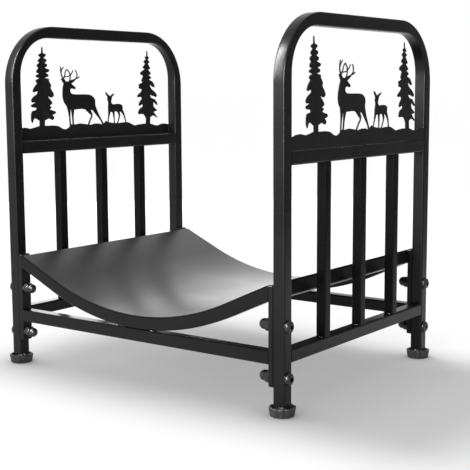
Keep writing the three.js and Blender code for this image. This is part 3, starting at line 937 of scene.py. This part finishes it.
@dataclass(frozen=True)
class TroughLine:
    """The trough's curve in the XZ plane: a rolled middle with straight ends.

    Attributes:
        plate_radius: Radius of the plate's upper face.
        angle: From the middle to where the straight ends start.
        plate: Thickness of the plate.
        seat: Gap between the plate and the bent tubes.
        steps: Facets of the rolled middle.
    """

    plate_radius: float = 312 * MM
    angle: float = math.radians(24.5)
    plate: float = 1 * MM
    seat: float = 0.05 * MM
    steps: int = 72

    @property
    def tube_radius(self) -> float:
        """Radius of the bent tubes' undersides."""
        return self.plate_radius + self.plate + self.seat + RACK_TUBE.size

    def centre(self) -> Vector:
        """Centre of the curve, over the tops of the straight rails."""
        _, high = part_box("front_straight_rail")
        return Vector((0, 0, high.z + self.tube_radius))

    def sweep(self, mesh: Mesh, section: Ring, radius: float, y: float, reach: float) -> None:
        """Sweep a section along the curve, from left to right, and close its ends.

        Args:
            mesh: Mesh that holds the section.
            section: Ring in the XY plane: X is the height across the curve and Y runs along Y.
            radius: Radius of the section's middle.
            y: Place of the section along Y.
            reach: How far the ends come along X.
        """
        centre = self.centre()
        verts = ring_vertices(section)
        bmesh.ops.rotate(mesh, matrix=Matrix.Rotation(QUARTER_TURN, 3, "Y"), verts=verts)
        bmesh.ops.translate(mesh, vec=centre - Z * radius + Y * y, verts=verts)
        bmesh.ops.rotate(mesh, cent=centre, matrix=Matrix.Rotation(self.angle, 3, "Y"), verts=verts)
        flat, rise = math.cos(self.angle), math.sin(self.angle)
        straight = (reach - radius * rise) / flat
        outwards = Vector((-flat, 0, rise))
        bmesh.ops.translate(mesh, vec=outwards * straight, verts=verts)
        ring = extruded(mesh, section, -outwards * straight)
        ring = spun(mesh, ring, centre, Y, -2 * self.angle, self.steps)
        ring = extruded(mesh, ring, Vector((flat, 0, rise)) * straight)
        filled(mesh, section)
        filled(mesh, ring)


@dataclass
class Cradle:
    """Bent tubes, straight rails, cross rails, straps and the trough plate.

    Attributes:
        finishes: Every finish of the rack.
        line: The trough's curve.
        strap_corner: Radius of a strap's corners.
        strap_edge: Radius of its edges.
        strap_steps: Facets of each of its corners, and of each edge.
        plate_edge: How far the sheet's edges are eased.
        plate_steps: Facets of them.
        cut_overrun: How far a bent tube goes past its ends before it is cut off.
    """

    finishes: Finishes
    line: TroughLine = field(default_factory=TroughLine)
    strap_corner: float = 2.5 * MM
    strap_edge: float = 1.2 * MM
    strap_steps: tuple[int, int] = (5, 4)
    plate_edge: float = 0.3 * MM
    plate_steps: int = 3
    cut_overrun: float = 12 * MM

    def build(self) -> list[Piece]:
        """Model every piece of the cradle.

        Returns:
            The pieces.
        """
        pieces = [self.plate()]
        for end in End:
            rail = StraightTube(f"{end.word}_straight_rail", RACK_TUBE, self.finishes.tube)
            pieces += [self.bent_tube(end), rail.build()]
            pieces += [self.strap(side, end) for side in Side]
        return pieces + [self.cross_rail(side) for side in Side]

    def bent_tube(self, end: End) -> Piece:
        """Model a bent tube, cut off upright at both ends.

        Args:
            end: Front or rear.

        Returns:
            The piece.
        """
        node = f"{end.word}_bent_tube"
        low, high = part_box(node)
        mesh = bmesh.new()
        section = RACK_TUBE.ring(mesh)
        middle = self.line.tube_radius - RACK_TUBE.size / 2
        self.line.sweep(mesh, section, middle, (low.y + high.y) / 2, high.x + self.cut_overrun)
        for place, normal in ((high.x, X), (low.x, -X)):
            cut = bmesh.ops.bisect_plane(
                mesh,
                geom=mesh.verts[:] + mesh.edges[:] + mesh.faces[:],
                plane_co=Vector((place, 0, 0)),
                plane_no=normal,
                clear_outer=True,
            )["geom_cut"]
            filled(mesh, [item for item in cut if isinstance(item, Edge)])
        return Piece(node, mesh, self.finishes.tube, nodes=(node,))

    def plate(self) -> Piece:
        """Model the sheet over the bent tubes, with its edges eased.

        Returns:
            The piece.
        """
        node = "trough_plate"
        low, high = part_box(node)
        sheet = self.line.plate
        mesh = bmesh.new()
        section = rounded_ring(mesh, sheet, high.y - low.y, self.plate_edge, self.plate_steps)
        middle = self.line.plate_radius + sheet / 2
        self.line.sweep(mesh, section, middle, 0, high.x - sheet * math.sin(self.line.angle) / 2)
        return Piece(node, mesh, self.finishes.plate, slot="coated_plate", nodes=(node,))

    def strap(self, side: Side, end: End) -> Piece:
        """Model a mounting strap with rounded corners and edges.

        Args:
            side: Left or right.
            end: Front or rear.

        Returns:
            The piece.
        """
        node = f"{side.word}_{end.word}_strap"
        low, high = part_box(node)
        spans = high - low
        mesh = bmesh.new()
        corner_steps, edge_steps = self.strap_steps
        start = rounded_ring(mesh, spans.y, spans.z, self.strap_corner, corner_steps)
        filled(mesh, start)
        top = extruded(mesh, start, Z * spans.x)
        filled(mesh, top)
        bevel(mesh, start + top, self.strap_edge, edge_steps, "EDGES")
        move(mesh, -Z * spans.x / 2)
        upright = Matrix((Y, Z, X)).transposed()
        bmesh.ops.rotate(mesh, matrix=upright, verts=mesh.verts[:])
        move(mesh, (low + high) / 2)
        return Piece(node, mesh, self.finishes.tube, nodes=(node,))

    def cross_rail(self, side: Side) -> Piece:
        """Model a cross rail, square to the straight end of the curve and just under the plate.

        Args:
            side: Left or right.

        Returns:
            The piece.
        """
        node = f"{side.word}_cross_rail"
        low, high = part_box(node)
        mesh = bmesh.new()
        RACK_TUBE.length(mesh, high.y - low.y)
        rotate(mesh, QUARTER_TURN, "X")
        rotate(mesh, -side.value * self.line.angle, "Y")
        move(mesh, (low + high) / 2)
        return Piece(node, mesh, self.finishes.tube, nodes=(node,))


@dataclass
class Screws:
    """Button-head bolts and dome nuts that hold the cradle to the legs.

    Attributes:
        finishes: Every finish of the rack.
        head_radius: Radius of a bolt's head.
        head_height: Height of the head.
        crown_radius: Radius of the flat on its top.
        crown_share: How much of the way to that flat the crown's rounding takes.
        crown_steps: Facets of the rounding.
        shank_radius: Radius of the shank.
        socket_flats: Width of the hexagonal socket across its flats.
        socket_depth: Depth of the socket.
        nut_flats: Width of a nut across its flats.
        nut_hex: Height of its hexagon.
        nut_chamfer: Height of the hexagon's chamfer.
        collar_inset: How far inside the flats the chamfer ends.
        dome_radius: Radius of the dome.
        bore_radius: Radius of the bore.
        bore_depth: Depth of the bore.
        round_steps: Facets round a screw.
        dome_steps: Facets from the dome's foot to its tip.
    """

    finishes: Finishes
    head_radius: float = 7 * MM
    head_height: float = 4.4 * MM
    crown_radius: float = 3.5 * MM
    crown_share: float = 0.98
    crown_steps: int = 9
    shank_radius: float = 4 * MM
    socket_flats: float = 5 * MM
    socket_depth: float = 2.6 * MM
    nut_flats: float = 13 * MM
    nut_hex: float = 6.5 * MM
    nut_chamfer: float = 0.9 * MM
    collar_inset: float = 0.3 * MM
    dome_radius: float = 6 * MM
    bore_radius: float = 4.1 * MM
    bore_depth: float = 11 * MM
    round_steps: int = 48
    dome_steps: int = 10

    def build(self) -> list[Piece]:
        """Model the eight bolts and their nuts.

        Returns:
            The pieces.
        """
        pieces = []
        for side, end, level in product(Side, End, Level):
            name = f"{side.word}_{end.word}_{level.value}"
            pieces += [self.bolt(f"{name}_bolt", side), self.nut(f"{name}_dome_nut", side)]
        return pieces

    def bolt(self, node: str, side: Side) -> Piece:
        """Model a bolt, its head outwards.

        Args:
            node: Solid that it stands for.
            side: End frame that it goes through.

        Returns:
            The piece.
        """
        low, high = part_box(node)
        length = high.x - low.x
        shank = length - self.head_height
        mesh = bmesh.new()
        rim = self.head_radius
        points = [
            (self.crown_radius, self.head_height),
            (rim, self.head_height),
            (rim, 0),
            (self.shank_radius, 0),
            (self.shank_radius, -shank),
        ]
        crown = (rim - self.crown_radius) * self.crown_share
        line = rounded_profile(mesh, points, {1: crown}, self.crown_steps)
        turned(mesh, line, self.round_steps)
        open_rings = [edge for edge in mesh.edges if edge.is_boundary]
        top = [edge for edge in open_rings if edge.verts[0].co.z > 0]
        filled(mesh, [edge for edge in open_rings if edge.verts[0].co.z < 0])
        socket = hexagon(mesh, self.socket_flats)
        bmesh.ops.translate(mesh, vec=Z * self.head_height, verts=ring_vertices(socket))
        bridged(mesh, top, socket)
        filled(mesh, extruded(mesh, socket, -Z * self.socket_depth))
        outer = high.x if side is Side.RIGHT else low.x
        return self._laid(node, mesh, side.value, outer - side.value * self.head_height)

    def nut(self, node: str, side: Side) -> Piece:
        """Model a dome nut, its dome towards the middle of the rack.

        Args:
            node: Solid that it stands for.
            side: End frame that it belongs to.

        Returns:
            The piece.
        """
        low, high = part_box(node)
        height = high.x - low.x
        mesh = bmesh.new()
        foot = hexagon(mesh, self.nut_flats)
        shoulder = extruded(mesh, foot, Z * (self.nut_hex - self.nut_chamfer))
        collar_radius = self.nut_flats / 2 - self.collar_inset
        collar = circle_ring(mesh, collar_radius, self.round_steps)
        bmesh.ops.translate(mesh, vec=Z * self.nut_hex, verts=ring_vertices(collar))
        bridged(mesh, shoulder, collar)
        ring = extruded(mesh, collar, Vector())
        ring = narrowed(mesh, ring, self.dome_radius / collar_radius, Z * self.nut_hex)
        springing = height - self.dome_radius
        ring = extruded(mesh, ring, Z * (springing - self.nut_hex))
        turn = QUARTER_TURN / self.dome_steps
        for step in range(1, self.dome_steps):
            rise = self.dome_radius * (math.sin(step * turn) - math.sin((step - 1) * turn))
            share = math.cos(step * turn) / math.cos((step - 1) * turn)
            ring = extruded(mesh, ring, Z * rise)
            ring = narrowed(mesh, ring, share, Vector())
        last_rise = self.dome_radius * (1 - math.sin((self.dome_steps - 1) * turn))
        tip = extruded(mesh, ring, Z * last_rise)
        bmesh.ops.pointmerge(mesh, verts=ring_vertices(tip), merge_co=Z * height)
        bore = circle_ring(mesh, self.bore_radius, self.round_steps)
        bridged(mesh, foot, bore)
        filled(mesh, extruded(mesh, bore, Z * self.bore_depth))
        return self._laid(node, mesh, -side.value, low.x if side is Side.LEFT else high.x)

    def _laid(self, node: str, mesh: Mesh, toward: int, foot_x: float) -> Piece:
        """Lay a screw modelled up the Z axis along X.

        Args:
            node: Solid that it stands for.
            mesh: Its mesh.
            toward: The sign along X that its top points to.
            foot_x: Place along X of what was at zero.

        Returns:
            The piece.
        """
        low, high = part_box(node)
        middle = (low + high) / 2
        rotate(mesh, toward * QUARTER_TURN, "Y")
        move(mesh, Vector((foot_x, middle.y, middle.z)))
        return Piece(node, mesh, self.finishes.screw, slot="blackened_steel", nodes=(node,))


@dataclass
class Welds:
    """Short weld beads under the coat, where the rack's makers tacked its pieces together.

    Attributes:
        finishes: Every finish of the rack.
        ripple: Length, width and height of one ripple of a bead.
        ripple_detail: How often its facets are divided.
        pitch: Distance between the ripples.
        tack_places: Places along Y of the beads between a scene's sheet and its mid rail.
        end_height: How far over the mid rail a scene's ends are tacked to the legs.
        sheet_reach: From the outer face of an end frame to the inner face of its scene's sheet.
        touch_half: Half the distance between the beads beside a bent tube's lowest place.
    """

    finishes: Finishes
    ripple: Vector = field(default_factory=lambda: Vector((2.2, 1.9, 1.7)) * MM)
    ripple_detail: int = 2
    pitch: float = 0.9 * MM
    tack_places: tuple[float, ...] = (-52 * MM, 3 * MM, 50 * MM)
    end_height: float = 6 * MM
    sheet_reach: float = 1.3 * MM
    touch_half: float = 27 * MM

    def build(self) -> list[Piece]:
        """Model the beads of every kind of joint, one piece for each."""
        return [self.scene_tacks(), self.bar_tacks(), self.cradle_tacks()]

    def _bead(self, mesh: Mesh, place: Vector, along: Vector, kind: Bead) -> None:
        """Lay one bead of rounded ripples.

        Args:
            mesh: Mesh to add it to.
            place: Middle of the bead.
            along: Direction of the bead, one of the axes.
            kind: How many ripples it has.
        """
        turn = X.rotation_difference(along).to_matrix().to_4x4()
        size = Matrix.Diagonal((*(self.ripple / 2), 1))
        for step in range(kind.value):
            shift = (step - (kind.value - 1) / 2) * self.pitch
            matrix = Matrix.Translation(place + along * shift) @ turn @ size
            bmesh.ops.create_icosphere(
                mesh, subdivisions=self.ripple_detail, radius=1, matrix=matrix
            )

    def scene_tacks(self) -> Piece:
        """Tack the scenes to the tops of the mid rails and to the legs.

        Returns:
            The piece.
        """
        mesh = bmesh.new()
        for side in Side:
            low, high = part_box(f"{side.word}_mid_rail")
            outer = high.x if side is Side.RIGHT else low.x
            inner_face = outer - side.value * self.sheet_reach
            for y in self.tack_places:
                self._bead(mesh, Vector((inner_face, y, high.z)), Y, Bead.SHEET_FOOT)
                self._bead(mesh, Vector((outer, y, high.z)), Y, Bead.SPOT)
            for y in (low.y, high.y):
                corner = Vector((inner_face, y, high.z + self.end_height))
                self._bead(mesh, corner, Z, Bead.SHEET_END)
        return Piece("scene_tack_welds", mesh, self.finishes.weld, slot="coated_panel")

    def bar_tacks(self) -> Piece:
        """Tack the bars to the rails under and over them.

        Returns:
            The piece.
        """
        mesh = bmesh.new()
        for name in sorted(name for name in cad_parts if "_bar_" in name):
            low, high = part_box(name)
            for y, z in product((low.y, high.y), (low.z, high.z)):
                self._bead(mesh, Vector(((low.x + high.x) / 2, y, z)), X, Bead.RAIL)
        return Piece("bar_tack_welds", mesh, self.finishes.weld)

    def cradle_tacks(self) -> Piece:
        """Tack the bent tubes to the straight rails that they touch.

        Returns:
            The piece.
        """
        mesh = bmesh.new()
        for end in End:
            low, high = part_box(f"{end.word}_straight_rail")
            face = low.y if end is End.FRONT else high.y
            for x in (-self.touch_half, self.touch_half):
                self._bead(mesh, Vector((x, face, high.z + self.ripple.z / 2)), X, Bead.RAIL)
        return Piece("cradle_tack_welds", mesh, self.finishes.weld)


@dataclass
class LevellingFoot:
    """Lobed foot with its threaded rod and the insert in the leg.

    Attributes:
        side: The leg's end frame.
        end: Whether it is a front or a rear leg.
        finishes: Every finish of the rack.
        base_radius: Radius of the pad's underside.
        rim_radius: Radius of its rim.
        rim_round: Rounding from the rim to the lobes, and of the recess's floor.
        lip_rounds: Roundings of the rim's outer and inner edges.
        base_round: Rounding of the underside's edge.
        round_steps: Facets of each rounding.
        recess_radius: Radius of the recess round the leg.
        recess_depth: Its depth.
        socket_radius: Radius of the rod's socket in the pad, and of the insert's bore.
        socket_floor: Height of the socket's floor.
        lobes: Count of the lobes.
        lobe_depth: Depth of the grooves between them.
        lobe_turn: Turn of the lobes.
        lobe_sharpness: Under 1 for grooves that are narrower than the lobes.
        steps_per_lobe: Facets of each lobe.
        thread_pitch: Pitch of the rod's thread.
        thread_depth: Its depth.
        crest: Where the thread's crest starts and ends, as shares of the pitch.
        thread_steps: Facets round the rod.
        thread_join: Distance within which the corners of neighbouring turns are one.
        insert_corner: Radius of the insert's corners.
        insert_steps: Facets of each corner.
        bore_steps: Facets round its bore.
    """

    side: Side
    end: End
    finishes: Finishes
    base_radius: float = 13.4 * MM
    rim_radius: float = 14.95 * MM
    rim_round: float = 0.9 * MM
    lip_rounds: tuple[float, float] = (0.855 * MM, 0.54 * MM)
    base_round: float = 1.0 * MM
    round_steps: int = 4
    recess_radius: float = 12.3 * MM
    recess_depth: float = 3.4 * MM
    socket_radius: float = 4.15 * MM
    socket_floor: float = 3 * MM
    lobes: int = 10
    lobe_depth: float = 1.6 * MM
    lobe_turn: float = math.radians(-9)
    lobe_sharpness: float = 0.7
    steps_per_lobe: int = 14
    thread_pitch: float = 1.25 * MM
    thread_depth: float = 0.7 * MM
    crest: tuple[float, float] = (0.44, 0.56)
    thread_steps: int = 24
    thread_join: float = 0.01 * MM
    insert_corner: float = 0.8 * MM
    insert_steps: int = 3
    bore_steps: int = 24

    @property
    def word(self) -> str:
        """Name of the corner."""
        return f"{self.side.word}_{self.end.word}"

    def build(self) -> list[Piece]:
        """Model the pad, the rod and the insert."""
        return [self.pad(), self.stud(), self.insert()]

    def pad(self) -> Piece:
        """Turn the pad's profile, then press the grooves between its lobes.

        Returns:
            The piece.
        """
        node = f"{self.word}_foot_pad"
        low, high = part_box(node)
        height = high.z
        floor = height - self.recess_depth
        points = [
            (0, 0),
            (self.base_radius, 0),
            (self.rim_radius, height - self.rim_round),
            (self.rim_radius, height),
            (self.recess_radius, height),
            (self.recess_radius, floor),
            (self.socket_radius, floor),
            (self.socket_radius, self.socket_floor),
            (0, self.socket_floor),
        ]
        mesh = bmesh.new()
        outer_lip, inner_lip = self.lip_rounds
        rounds = {1: self.base_round, 3: outer_lip, 4: inner_lip, 5: self.rim_round}
        line = rounded_profile(mesh, points, rounds, self.round_steps)
        turned(mesh, line, self.lobes * self.steps_per_lobe)
        for vertex in mesh.verts:
            radius = math.hypot(vertex.co.x, vertex.co.y)
            on_rim = radius > self.recess_radius + self.rim_round
            if on_rim or (vertex.co.z < floor and radius > self.base_radius / 2):
                angle = math.atan2(vertex.co.y, vertex.co.x)
                groove = 1 - abs(math.sin(self.lobes * angle / 2)) ** self.lobe_sharpness
                share = (radius - self.lobe_depth * groove) / radius
                vertex.co.x *= share
                vertex.co.y *= share
        rotate(mesh, self.lobe_turn, "Z")
        middle = (low + high) / 2
        move(mesh, Vector((middle.x, middle.y, 0)))
        body = f"{self.word}_foot"
        return Piece(node, mesh, self.finishes.foot, body, "moulded_plastic", (node,))

    def stud(self) -> Piece:
        """Wind one tooth of the thread up the rod.

        Returns:
            The piece.
        """
        node = f"{self.word}_foot_stud"
        low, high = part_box(node)
        radius = (high.x - low.x) / 2
        turns = math.floor((high.z - low.z) / self.thread_pitch)
        mesh = bmesh.new()
        root = radius - self.thread_depth
        tooth = [(root, 0), *((radius, self.thread_pitch * share) for share in self.crest)]
        line = profile_line(mesh, [*tooth, (root, self.thread_pitch)])
        bmesh.ops.spin(
            mesh,
            geom=ring_vertices(line) + line,
            cent=Vector(),
            axis=Z,
            dvec=Z * self.thread_pitch / self.thread_steps,
            angle=FULL_TURN * (turns - 1),
            steps=self.thread_steps * (turns - 1),
            use_merge=False,
            use_duplicate=False,
        )
        bmesh.ops.remove_doubles(mesh, verts=mesh.verts[:], dist=self.thread_join)
        open_edges = [edge for edge in mesh.edges if edge.is_boundary]
        bmesh.ops.holes_fill(mesh, edges=open_edges, sides=0)
        middle = (low + high) / 2
        move(mesh, Vector((middle.x, middle.y, low.z)))
        body = f"{self.word}_stud"
        return Piece(node, mesh, self.finishes.zinc, body, "zinc_plated_steel", (node,))

    def insert(self) -> Piece:
        """Model the square insert round the rod.

        Returns:
            The piece.
        """
        node = f"{self.word}_leg_insert"
        low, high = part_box(node)
        spans = high - low
        mesh = bmesh.new()
        outside = rounded_ring(mesh, spans.x, spans.y, self.insert_corner, self.insert_steps)
        upper = extruded(mesh, outside, Z * spans.z)
        bore = circle_ring(mesh, self.socket_radius, self.bore_steps)
        bridged(mesh, outside, bore)
        bridged(mesh, upper, extruded(mesh, bore, Z * spans.z))
        middle = (low + high) / 2
        move(mesh, Vector((middle.x, middle.y, low.z)))
        return Piece(node, mesh, self.finishes.insert, slot="moulded_plastic", nodes=(node,))


@dataclass(frozen=True)
class Softbox:
    """A soft lamp that faces the rack.

    Attributes:
        name: Its name.
        place: Where it hangs.
        width: Its width.
        height: Its height.
        power: Power in watts.
        lights: Whether it lights matt surfaces, or only shows in glossy ones.
        flagged: Whether flags keep it off the shielded pieces, which would mirror it as glare.
    """

    name: str
    place: tuple[float, float, float]
    width: float
    height: float
    power: float
    lights: bool = True
    flagged: bool = False


@dataclass(frozen=True)
class StripLamp(Softbox):
    """A narrow soft lamp that only shows in glossy pieces, and not in the shielded ones."""

    lights: bool = False
    flagged: bool = True


@dataclass
class Studio:
    """Pale floor with a painted grey shade and painted contact shadows, a white room, soft lamps, a
    grey card and the camera.

    Attributes:
        shielded: The pieces that the flags keep the strip lamps off.
        focal: Focal length in millimetres.
        sensor: Width of the sensor in millimetres.
        camera_place: Where the camera stands.
        yaw: Turn of the camera to the left of the Y axis.
        pitch: How far it looks down.
        roll: How far it leans.
        aim: What the lamps face.
        paper: Colour of the floor.
        floor_half: Half the floor's side.
        floor_glow: Share of the floor that is plain white to the rays that see the background.
        room_light: Strength of the room's even light.
        sky_light: Strength of the wide lamp on the left.
        sky_angle: Angle that it fills.
        sky_from: Direction that it comes from.
        softboxes: The nearer lamps.
        shade_centre: Middle of the soft grey shade painted on the paper under the rack.
        shade_half: Half sizes of the part of the shade that is even.
        shade_edge: Width of its soft edge.
        shade_tone: Brightness that it shows to the rays that see the background.
        shade_share: How much more of the floor shows plainly in it.
        contact_reach: How far from the feet the painted contact shadow darkens the floor.
        card_place: Middle of the grey card, which only reflections see.
        card_size: Width and height of the card.
        card_tone: Colour of the card.
        clip: Distances between which the camera sees.
    """

    shielded: list[bpy.types.Object]
    focal: float = 82.546
    sensor: float = 36.0
    camera_place: Vector = field(default_factory=lambda: Vector((826.6, -1083.95, 344.4)) * MM)
    yaw: float = math.radians(36.509)
    pitch: float = math.radians(7.628)
    roll: float = math.radians(-0.304)
    aim: Vector = field(default_factory=lambda: Vector((0, 0, 0.2)))
    paper: str = "#f8f8f8"
    floor_half: float = 40.0
    floor_glow: float = 0.33
    room_light: float = 0.55
    sky_light: float = 2.3
    sky_angle: float = math.radians(45)
    sky_from: Vector = field(default_factory=lambda: Vector((-0.72, 0.05, 0.69)))
    softboxes: tuple[Softbox, ...] = (
        StripLamp("front_left_strip", (-0.42, -0.7, 0.78), 0.12, 0.66, 28.0),
        StripLamp("front_right_strip", (0.45, -1.25, 0.6), 0.15, 0.55, 32.0),
        Softbox("front_softbox", (0.2, -2.0, 0.9), 0.8, 0.8, 10.0),
        Softbox("rear_left_softbox", (-1.4, 1.5, 0.5), 1.0, 0.8, 7.0),
    )
    shade_centre: Vector = field(default_factory=lambda: Vector((0.09, -0.03, 0)))
    shade_half: Vector = field(default_factory=lambda: Vector((0.26, 0.12, 1)))
    shade_edge: float = 0.16
    shade_tone: float = 0.5
    shade_share: float = 0.42
    contact_reach: float = 0.045
    card_place: Vector = field(default_factory=lambda: Vector((0.72, 0.72, 1.0)))
    card_size: Vector = field(default_factory=lambda: Vector((2.6, 2.0, 1)))
    card_tone: str = "#808080"
    clip: tuple[float, float] = (0.05, 200.0)

    def build(self) -> None:
        """Set up the floor, the room, the lamps, the card and the camera."""
        self.floor()
        self.room()
        self.sky()
        for box in self.softboxes:
            self.softbox(box)
        self.grey_card()
        self.camera()

    def background_rays(self, nodes: Nodes) -> Socket:
        """Find the rays that see the white background: the camera's, mirrored and transmitted ones.

        Args:
            nodes: Tree that needs them.

        Returns:
            An output that is 1 for these rays.
        """
        path = nodes.add("ShaderNodeLightPath")
        seen = path.outputs["Is Camera Ray"]
        for kind in ("Is Glossy Ray", "Is Transmission Ray"):
            either = nodes.add("ShaderNodeMath", {"operation": "MAXIMUM"})
            nodes.feed(either.inputs[0], seen)
            nodes.feed(either.inputs[1], path.outputs[kind])
            seen = either.outputs[0]
        return seen

    def _flat(self, name: str, size: float, material: Material) -> bpy.types.Object:
        """Make a flat square of the studio.

        Args:
            name: Its name.
            size: Half its side.
            material: Its material.

        Returns:
            The square, lying at the origin.
        """
        mesh = bmesh.new()
        bmesh.ops.create_grid(mesh, x_segments=1, y_segments=1, size=size)
        data = bpy.data.meshes.new(name)
        mesh.to_mesh(data)
        mesh.free()
        data.materials.append(material)
        made = bpy.data.objects.new(name, data)
        bpy.context.scene.collection.objects.link(made)
        return made

    def _shade(self, nodes: Nodes) -> Socket:
        """Measure the soft grey shade painted on the paper under the rack.

        Args:
            nodes: Tree that needs it.

        Returns:
            An output that is 1 in the shade and falls to 0 over its edge.
        """
        place = nodes.add("ShaderNodeTexCoord").outputs["Object"]
        steps = (
            ("SUBTRACT", self.shade_centre),
            ("ABSOLUTE", Vector()),
            ("SUBTRACT", self.shade_half),
            ("MAXIMUM", Vector()),
            ("LENGTH", Vector()),
        )
        for step, value in steps:
            vector = nodes.add("ShaderNodeVectorMath", {"operation": step})
            nodes.feed(vector.inputs[0], place)
            nodes.feed(vector.inputs[1], value)
            place = vector.outputs[0]
        fall = nodes.add(
            "ShaderNodeMapRange",
            {"interpolation_type": "SMOOTHSTEP"},
            Value=vector.outputs["Value"],
            From_Max=self.shade_edge,
            To_Min=1.0,
            To_Max=0.0,
        )
        return fall.outputs["Result"]

    def floor(self) -> None:
        """Lay the floor: matt paper that also shows some of the room's white where it is seen, with
        a soft grey shade painted under the rack and a contact shadow painted round the feet.
        """
        nodes = Nodes(bpy.data.materials.new("matt_white_paper"))
        # The grey shade under the rack is painted into the floor's colour; no lamp casts it.
        shade = self._shade(nodes)
        paper = nodes.add("ShaderNodeBsdfDiffuse", Color=linear(self.paper))
        painted_shade_tone = nodes.add("ShaderNodeMapRange", Value=shade, To_Min=1.0, To_Max=self.shade_tone)
        # Painted contact shadow: the floor's white is darkened where the rack stands close over it.
        painted_contact_shadow = nodes.add("ShaderNodeAmbientOcclusion", Distance=self.contact_reach)
        darkened = nodes.add("ShaderNodeMath", {"operation": "MULTIPLY"})
        nodes.feed(darkened.inputs[0], painted_shade_tone.outputs["Result"])
        nodes.feed(darkened.inputs[1], painted_contact_shadow.outputs["AO"])
        white = nodes.add("ShaderNodeEmission", Color=WHITE, Strength=darkened.outputs[0])
        most = self.floor_glow + self.shade_share
        plain = nodes.add("ShaderNodeMapRange", Value=shade, To_Min=self.floor_glow, To_Max=most)
        share = nodes.add("ShaderNodeMath", {"operation": "MULTIPLY"})
        nodes.feed(share.inputs[0], self.background_rays(nodes))
        nodes.feed(share.inputs[1], plain.outputs["Result"])
        mixed = nodes.add("ShaderNodeMixShader", Fac=share.outputs[0])
        nodes.feed(mixed.inputs[1], paper.outputs[0])
        nodes.feed(mixed.inputs[2], white.outputs[0])
        self._flat("floor", self.floor_half, nodes.finish(mixed))

    def room(self) -> None:
        """Light the rack evenly and show white behind it."""
        world = bpy.data.worlds.new("white_room")
        bpy.context.scene.world = world
        nodes = Nodes(world)
        rays = self.background_rays(nodes)
        strength = nodes.add("ShaderNodeMapRange", Value=rays, To_Min=self.room_light, To_Max=1.0)
        lit = nodes.add("ShaderNodeBackground", Color=WHITE, Strength=strength.outputs["Result"])
        nodes.finish(lit)

    def sky(self) -> None:
        """Shine a wide soft lamp from the left, for soft shadows that run to the right."""
        data = bpy.data.lights.new("left_sky_lamp", "SUN")
        data.energy = self.sky_light
        data.angle = self.sky_angle
        made = bpy.data.objects.new("left_sky_lamp", data)
        made.visible_glossy = False
        made.rotation_euler = (-self.sky_from).to_track_quat("-Z", "Y").to_euler()
        bpy.context.scene.collection.objects.link(made)

    def softbox(self, box: Softbox) -> None:
        """Hang one of the nearer lamps.

        Args:
            box: The lamp.
        """
        data = bpy.data.lights.new(box.name, "AREA")
        data.shape = "RECTANGLE"
        data.size = box.width
        data.size_y = box.height
        data.energy = box.power
        made = bpy.data.objects.new(box.name, data)
        made.location = box.place
        made.visible_camera = False
        made.visible_diffuse = box.lights
        made.rotation_euler = (self.aim - Vector(box.place)).to_track_quat("-Z", "Y").to_euler()
        bpy.context.scene.collection.objects.link(made)
        if box.flagged:
            shaded = bpy.data.collections.new(f"{box.name}_flag")
            for piece in self.shielded:
                shaded.objects.link(piece)
            for member in shaded.collection_objects:
                member.light_linking.link_state = "EXCLUDE"
            made.light_linking.receiver_collection = shaded

    def grey_card(self) -> None:
        """Stand a grey card at the rear right, which darkens what the right-hand faces mirror."""
        nodes = Nodes(bpy.data.materials.new("matt_grey_card"))
        material = nodes.finish(nodes.add("ShaderNodeBsdfDiffuse", Color=linear(self.card_tone)))
        card = self._flat("grey_card", UNIT_HALF, material)
        toward = Vector((self.aim.x, self.aim.y, self.card_place.z)) - self.card_place
        card.rotation_euler = toward.to_track_quat("Z", "Y").to_euler()
        card.location = self.card_place
        card.scale = self.card_size
        for rays in ("camera", "diffuse", "transmission", "volume_scatter", "shadow"):
            setattr(card, f"visible_{rays}", False)

    def camera(self) -> None:
        """Stand the camera where the photograph was taken from."""
        level = math.cos(self.pitch)
        forward = Vector(
            (-math.sin(self.yaw) * level, math.cos(self.yaw) * level, -math.sin(self.pitch))
        )
        right = Vector((math.cos(self.yaw), math.sin(self.yaw), 0))
        up = right.cross(forward)
        rolled_right = right * math.cos(self.roll) + up * math.sin(self.roll)
        rolled_up = up * math.cos(self.roll) - right * math.sin(self.roll)
        data = bpy.data.cameras.new("camera")
        data.lens = self.focal
        data.sensor_width = self.sensor
        data.clip_start, data.clip_end = self.clip
        made = bpy.data.objects.new("camera", data)
        turn = Matrix((rolled_right, rolled_up, -forward)).transposed()
        made.matrix_world = Matrix.Translation(self.camera_place) @ turn.to_4x4()
        bpy.context.scene.collection.objects.link(made)
        bpy.context.scene.camera = made


# The pieces that would mirror the strip lamps as glare
SHIELDED = (
    "trough_plate",
    "*bent_tube",
    "*straight_rail",
    "right_*_dome_nut",
    "left_front_foot_pad",
)


def main() -> None:
    """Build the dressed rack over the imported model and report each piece."""
    logging.basicConfig(level=logging.INFO, format="%(message)s")
    finishes = Finishes()
    parts = [EndFrame(side, finishes) for side in Side]
    parts += [Cradle(finishes), Screws(finishes), Welds(finishes)]
    parts += [LevellingFoot(side, end, finishes) for side, end in product(Side, End)]
    # By the piece's name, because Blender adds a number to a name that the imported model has
    placed = {piece.name: piece.place() for part in parts for piece in part.build()}
    shielded = [
        made for name, made in placed.items() if any(fnmatch(name, form) for form in SHIELDED)
    ]
    Studio(shielded).build()
    bpy.context.scene.view_settings.view_transform = "Standard"


if __name__ == "__main__":
    main()
